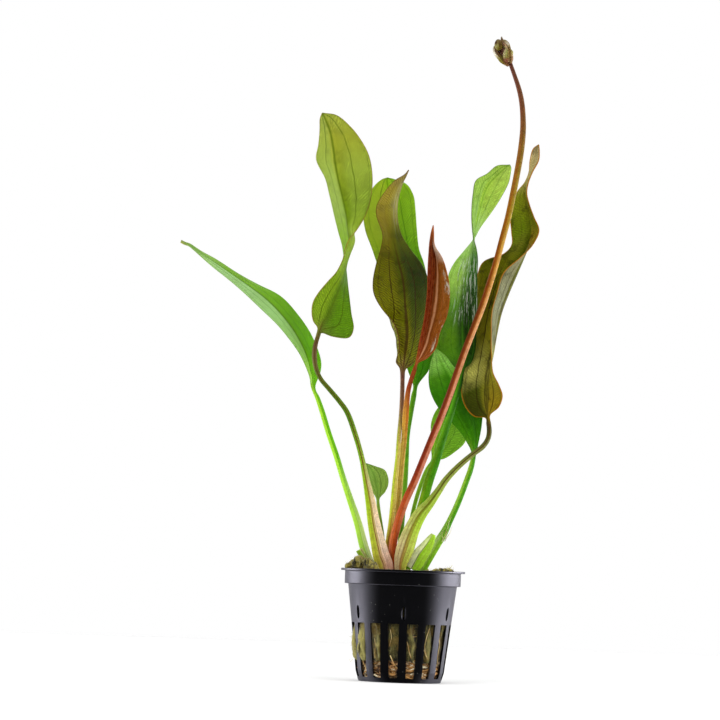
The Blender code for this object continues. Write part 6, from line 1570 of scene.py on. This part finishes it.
def relief(lengths, reach, across, half, waves, seed):
    """How far a blade stands off its middle surface, in margin waves, raised fields and a groove."""
    side, out = np.sign(across)[None, :], np.abs(across)[None, :]
    phase = np.random.default_rng(seed).uniform(0, 6.28, 4)
    ripple = np.sin(reach[:, None] / RIPPLE_LENGTH + phase[0] + side * phase[1])
    swell = np.sin(reach[:, None] / SWELL_LENGTH + phase[2] + side * phase[3])
    ends = (smoothstep(reach, 4, 16) * smoothstep(lengths[-1] - lengths, 2, 14))[:, None]
    lift = waves * ends * out ** 3 * (0.45 * ripple + 0.55 * swell)
    quilt = QUILT_HEIGHT * np.sin(pi * out * LEAF_LOOK["veins"]) ** 2
    groove = -GROOVE_DEPTH * np.exp(-(across * half / GROOVE_WIDTH) ** 2)
    return lift + (quilt + groove) * (np.clip(half / 4.0, 0, 1) * ends)


def half_thickness(thick, across, half, blade, blade_thick):
    """Round in a stalk, thin with a round margin in a blade."""
    out = np.abs(across)[None, :]
    round_rise = thick / 2 * np.sqrt(np.clip(1 - out ** 2, 0, 1))
    margin = np.sqrt(np.clip(half * (1 - out) / MARGIN_ROUND, 0, 1))
    keel = np.clip(thick / 2 - 0.2, 0, 2) * np.exp(-(across * half) ** 2)
    flat_rise = np.minimum(margin * (blade_thick / 2 / MM + keel), round_rise + 0.15)
    return (1 - blade) * round_rise + blade * flat_rise


def side_tones(tone, shown, blade):
    """Colours of the upper and the lower side: as seen from the front, the other one paler or deeper."""
    paler = tone * 0.75 + tone.mean(axis=2, keepdims=True) * 0.35 + 0.02
    return (np.where(shown, tone, tone * (1 - blade) + tone * 0.85 * blade),
            np.where(shown, tone * (1 - blade) + paler * blade, tone))


def strip_object(name, tone_name, rows, material, settings, blade_start=None, waves=0.0, seed=0,
                 blend=LEAF_LOOK["blend"]):
    """Closed skin round a leaf or stem with the attributes that its material reads."""
    count = settings.points_across // 2
    s = np.arange(-count, count + 1) / count
    across = 0.75 * s + 0.25 * np.sin(s * pi / 2)
    grid = sheet(rows, across)
    lengths = np.concatenate([[0], np.cumsum(np.linalg.norm(np.diff(rows[:, 3:6], axis=0), axis=1))])
    reach = lengths - (lengths[-1] + 50 if blade_start is None else lengths[blade_start])
    blade = smoothstep(reach, 0.0, min(9.0, lengths[-1] * 0.3))[:, None]
    left, right = (np.linalg.norm(rows[:, k:k + 3] - rows[:, 3:6], axis=1)[:, None] for k in (0, 6))
    half = np.where(across[None, :] < 0, left, right)
    normals = unit(np.cross(np.gradient(grid, axis=1), np.gradient(grid, axis=0)))
    grid = grid + normals * (blade * relief(lengths, reach, across, half, waves, seed))[:, :, None]
    rise = half_thickness(rows[:, 9:10], across, half, blade, settings.blade_thick)[:, :, None]
    seen_heights = VIEWPOINT[2] + (rows[:, 5] - VIEWPOINT[2]) * VIEWPOINT[1] / (VIEWPOINT[1] - rows[:, 4])
    tone = tones_along(tone_name, seen_heights, across, blend)
    shown = (np.einsum("ijk,ijk->ij", normals, VIEWPOINT - grid) > 0)[:, :, None]
    upper_tone, lower_tone = side_tones(tone, shown, blade[:, :, None])

    def ringed(top, bottom):
        """Rows that run over the upper side and back along the lower one."""
        return np.concatenate([top, bottom[:, -2:0:-1]], axis=1)

    around = 2 * len(across) - 2
    points = ringed(grid + normals * rise, grid - normals * rise).reshape(-1, 3)
    total, last = len(points), len(points) - around
    points = np.vstack([points, rows[0, 3:6], rows[-1, 3:6]])
    faces = bands(len(rows), around)
    for first, middle in ((0, total), (last, total + 1)):
        faces += [(first + i, first + (i + 1) % around, middle) for i in range(around)]
    item = mesh_object(name, points, faces, material)
    edit_mesh(item, face_outwards)

    flat = np.ones_like(half)
    place = np.stack([across * half, reach[:, None] * flat, across * flat], axis=2)
    store = {"place": ("FLOAT_VECTOR", "vector", place, place),
             "half_width": ("FLOAT", "value", half, half),
             "blade": ("FLOAT", "value", blade * flat, blade * flat),
             "under": ("FLOAT", "value", flat * 0, flat),
             "tone": ("FLOAT_COLOR", "color", np.dstack([upper_tone, flat]), np.dstack([lower_tone, flat]))}
    for key, (kind, field, top, bottom) in store.items():
        values = ringed(top, bottom).reshape(total, -1)
        values = np.vstack([values, values[:1], values[-1:]])
        item.data.attributes.new(key, kind, "POINT").data.foreach_set(field, values.ravel().astype(float))
    return item


def make_leaves(settings):
    for i, (name, leaf) in enumerate(LEAVES.items()):
        look = {**LEAF_LOOK, **LEAF_LOOKS.get(name, {})}
        stalk = stalk_rows(leaf["stalk"])
        rows = stalk + blade_rows(leaf)
        steps = [4] * (len(stalk) - 1) + [settings.blade_steps] * (len(rows) - len(stalk))
        piece_name = name.replace("leaf_", "") + "_leaf"
        material = leaf_material(piece_name, look, settings)
        item = strip_object(piece_name, name, fine_rows(rows, steps), material, settings,
                            4 * (len(stalk) - 1), settings.wave / MM, i, look["blend"])
        finish_piece(item, RECORD_SLOT[name], name)


def make_stems(settings):
    pieces = {"flower_stalk": "flower_stem", "cut_stub_left": "left_stub", "cut_stub_right": "right_stub",
              "flower_bud": "bud_core"}
    for name, stem in STEMS.items():
        rows = fine_rows(stalk_rows(stem), [6] * (len(stem) - 1))
        material = leaf_material(pieces[name], {**LEAF_LOOK, **STEM_LOOKS[name]}, settings)
        finish_piece(strip_object(pieces[name], name, rows, material, settings), RECORD_SLOT[name], name)


def make_bracts(settings):
    """Five bracts round the bud, each a curved scale with a pointed tip."""
    material = leaf_material("bract", {**LEAF_LOOK, **STEM_LOOKS["bract"]}, settings)
    for i, (name, (scale, tip)) in enumerate(BRACTS.items()):
        rows = [section(row, BRACT_THICK, (0.12, 0.12)) for row in scale]
        rows.append(tip_row(rows[-1], tip, 0.12, BRACT_THICK * 0.6))
        item = strip_object(name, name, fine_rows(rows, [6] * len(scale)), material, settings, 0)
        finish_piece(item, "bud", f"bud_bract_{i + 1}")


# ---------------------------------------------------------------- stage, light and camera

def make_floor(settings):
    sides, radius, hub = 96, settings.floor / MM, 1
    rings = [ring(r, z, sides) for r, z in ((hub, 0.0), (radius, 0.0), (radius, -3.0), (hub, -3.0))]
    faces = bands(4, sides) + [tuple(range(sides)), tuple(reversed(range(3 * sides, 4 * sides)))]
    mat, n = new_material("floor")
    grain = n.noise(n.object_place(), 0.02, 3)
    colour = n.mix(grain, (0.90, 0.90, 0.90, 1), (0.94, 0.94, 0.94, 1))
    n.end(n.skin(colour, 0.85, n.bump(grain, 0.0001)))
    floor = mesh_object("floor", np.vstack(rings) - (0, 0, 0.02), faces, mat, smooth=False)


def make_world(settings):
    """Soft light tent: white behind and at the sides, dark low down in front, white to the camera."""
    world = bpy.data.worlds.new("light tent")
    world.use_nodes = True
    bpy.context.scene.world = world
    n = Nodes(world.node_tree)
    x, y, z = n.separate(n.add("ShaderNodeTexCoord", output="Generated"))
    level = n.step(y, 0.3, 0.75)
    for other in (n.step(abs(x), 0.6, 0.9) * settings.side_light, n.step(z, 0.25, 0.8) * settings.top_light,
                  settings.front_light, n.add("ShaderNodeLightPath", output="Is Camera Ray")):
        level = n.math("MAXIMUM", level, other)
    n.end(n.add("ShaderNodeBackground", {"Color": (1, 1, 1, 1), "Strength": level}), "ShaderNodeOutputWorld")


def area_light(name, place, aim, size, power):
    data = bpy.data.lights.new(name, "AREA")
    data.shape = "RECTANGLE"
    data.size, data.size_y = size
    data.energy = power
    item = bpy.data.objects.new(name, data)
    item.location = place
    item.rotation_euler = (Vector(aim) - Vector(place)).to_track_quat("-Z", "Y").to_euler()
    bpy.context.scene.collection.objects.link(item)


def make_lights(settings):
    """Two lamps high in front and a low panel on either side."""
    lamp, panel = settings.key_power, settings.panel_power
    for row in (("key", (-0.75, -1.15, 0.85), (0, 0, 0.15), (0.6, 0.6), lamp),
                ("fill", (0.85, -1.0, 0.8), (0, 0, 0.15), (0.6, 0.6), lamp * 0.6),
                ("left panel", (-0.95, 0.3, 0.06), (0, 0, 0.05), (0.75, 0.4), panel),
                ("right panel", (0.95, 0.25, 0.06), (0, 0, 0.05), (1.3, 0.4), panel * 1.8)):
        area_light(*row)


def make_camera(settings):
    """Camera where the photograph was taken from, turned 2 degrees about its line of sight."""
    data = bpy.data.cameras.new("camera")
    data.sensor_width = 36.0
    data.lens = settings.lens
    item = bpy.data.objects.new("camera", data)
    eye, aim = Vector(VIEWPOINT * MM), Vector(AIM * MM)
    forward = (aim - eye).normalized()
    side = forward.cross(Vector((0, 0, 1))).normalized()
    up = side.cross(forward)
    right = cos(settings.roll) * side + sin(settings.roll) * up
    above = -sin(settings.roll) * side + cos(settings.roll) * up
    item.matrix_world = Matrix((right, above, -forward)).transposed().to_4x4()
    item.location = eye
    bpy.context.scene.collection.objects.link(item)
    bpy.context.scene.camera = item


# ---------------------------------------------------------------- add-on

SHARE = {"min": 0, "max": 1}
COLOUR = {"subtype": "COLOR", "size": 3, **SHARE}
LENGTH = {"subtype": "DISTANCE", "unit": "LENGTH"}


class PotSettings(bpy.types.PropertyGroup):
    segments: IntProperty(name="Segments", description="Steps round the pot", default=192, min=48)
    colour: FloatVectorProperty(name="Colour", description="Colour of the plastic",
                                default=(0.0006, 0.0006, 0.001), **COLOUR)
    roughness: FloatProperty(name="Roughness", description="How dull the plastic is", default=0.3, **SHARE)
    polish: FloatProperty(name="Polish", description="Gloss of the plastic where it is seen edge on",
                          default=0.1, **SHARE)


class FillSettings(bpy.types.PropertyGroup):
    wool_colour: FloatVectorProperty(name="Rockwool", description="Colour of the wool",
                                     default=(0.05, 0.042, 0.008), **COLOUR)
    # Also tints the painted highlights on the wool's ridges and its painted side light where it bulges into
    # the slots.
    wool_light: FloatVectorProperty(name="Rockwool edges", description="Colour of its pale edges",
                                    default=(0.40, 0.36, 0.11), **COLOUR)
    wool_voxel: FloatProperty(name="Detail", description="Size of the wool's finest lumps", default=0.00045,
                              **LENGTH)
    wool_fibres: FloatProperty(name="Fibres", description="Fibres on a square metre of wool", default=900000)
    roots: IntProperty(name="Roots", description="Number of root strands", default=300, min=1)


class LeafSettings(bpy.types.PropertyGroup):
    points_across: IntProperty(name="Points across", description="Points from margin to margin", default=40,
                               min=8)
    blade_steps: IntProperty(name="Steps", description="Rows between two sections of a blade", default=8,
                             min=1)
    blade_thick: FloatProperty(name="Blade", description="Thickness of a blade", default=0.00042, **LENGTH)
    wave: FloatProperty(name="Waves", description="Height of the waves along the margins", default=0.0005,
                        **LENGTH)
    vein_depth: FloatProperty(name="Veins", description="Depth of the veins", default=0.0003, **LENGTH)


class StageSettings(bpy.types.PropertyGroup):
    floor: FloatProperty(name="Floor", description="Radius of the floor", default=0.75, **LENGTH)
    lens: FloatProperty(name="Lens", description="Focal length in millimetres", default=167.0)
    roll: FloatProperty(name="Roll", description="Turn about the line of sight", default=radians(2.0),
                        subtype="ANGLE")
    side_light: FloatProperty(name="Sides", description="Brightness of the sides", default=1.2)
    top_light: FloatProperty(name="Top", description="Brightness from above", default=0.8)
    front_light: FloatProperty(name="Front", description="Brightness low in front", default=0.03)
    panel_power: FloatProperty(name="Panels", description="Power of the low panels at the sides", default=8.0,
                               unit="POWER")
    key_power: FloatProperty(name="Key", description="Power of the lamp high in front", default=12.0,
                             unit="POWER")


class PlantSettings(bpy.types.PropertyGroup):
    pot: PointerProperty(type=PotSettings, name="Pot")
    filling: PointerProperty(type=FillSettings, name="Filling")
    leaves: PointerProperty(type=LeafSettings, name="Leaves")
    stage: PointerProperty(type=StageSettings, name="Stage")


class MakePot(bpy.types.Operator):
    """Build the slotted pot"""
    bl_idname = "echinodorus.pot"
    bl_label = "Pot"

    def execute(self, context):
        make_pot(context.scene.echinodorus.pot)
        return {"FINISHED"}


class MakeRockwool(bpy.types.Operator):
    """Build the rockwool plug with its fibres"""
    bl_idname = "echinodorus.rockwool"
    bl_label = "Rockwool"

    def execute(self, context):
        make_rockwool(context.scene.echinodorus.filling)
        return {"FINISHED"}


class MakeRoots(bpy.types.Operator):
    """Build the roots in the foot of the pot"""
    bl_idname = "echinodorus.roots"
    bl_label = "Roots"

    def execute(self, context):
        make_roots(context.scene.echinodorus.filling)
        make_stray_roots()
        return {"FINISHED"}


class MakeCrown(bpy.types.Operator):
    """Build the rootstock that the leaves stand on"""
    bl_idname = "echinodorus.crown"
    bl_label = "Crown"

    def execute(self, context):
        make_crown()
        return {"FINISHED"}


class MakeLeaves(bpy.types.Operator):
    """Build the ten leaves"""
    bl_idname = "echinodorus.leaves"
    bl_label = "Leaves"

    def execute(self, context):
        make_leaves(context.scene.echinodorus.leaves)
        return {"FINISHED"}


class MakeStems(bpy.types.Operator):
    """Build the flower stalk, the bud's core and the cut leaf stalks"""
    bl_idname = "echinodorus.stems"
    bl_label = "Stems"

    def execute(self, context):
        make_stems(context.scene.echinodorus.leaves)
        return {"FINISHED"}


class MakeBud(bpy.types.Operator):
    """Build the bracts round the flower bud"""
    bl_idname = "echinodorus.bud"
    bl_label = "Bud"

    def execute(self, context):
        make_bracts(context.scene.echinodorus.leaves)
        return {"FINISHED"}


class MakeStage(bpy.types.Operator):
    """Set up the floor, the light and the camera"""
    bl_idname = "echinodorus.stage"
    bl_label = "Stage"

    def execute(self, context):
        for make in (make_floor, make_world, make_lights, make_camera):
            make(context.scene.echinodorus.stage)
        context.scene.view_settings.view_transform = "Standard"
        return {"FINISHED"}


OPERATORS = (MakePot, MakeRockwool, MakeRoots, MakeCrown, MakeLeaves, MakeStems, MakeBud, MakeStage)


class PlantPanel(bpy.types.Panel):
    bl_idname = "VIEW3D_PT_echinodorus"
    bl_label = "Echinodorus"
    bl_space_type = "VIEW_3D"
    bl_region_type = "UI"
    bl_category = "Echinodorus"

    def draw(self, context):
        settings = context.scene.echinodorus
        for group in (settings.pot, settings.filling, settings.leaves, settings.stage):
            box = self.layout.box()
            for key in group.__annotations__:
                box.prop(group, key)
        for operator in OPERATORS:
            self.layout.operator(operator.bl_idname)


CLASSES = (PotSettings, FillSettings, LeafSettings, StageSettings, PlantSettings, *OPERATORS, PlantPanel)


def register():
    for item in CLASSES:
        bpy.utils.register_class(item)
    bpy.types.Scene.echinodorus = PointerProperty(type=PlantSettings)


def unregister():
    del bpy.types.Scene.echinodorus
    for item in reversed(CLASSES):
        bpy.utils.unregister_class(item)


def main():
    register()
    for name in ("pot", "rockwool", "roots", "crown", "leaves", "stems", "bud", "stage"):
        getattr(bpy.ops.echinodorus, name)()


if __name__ == "__main__":
    main()
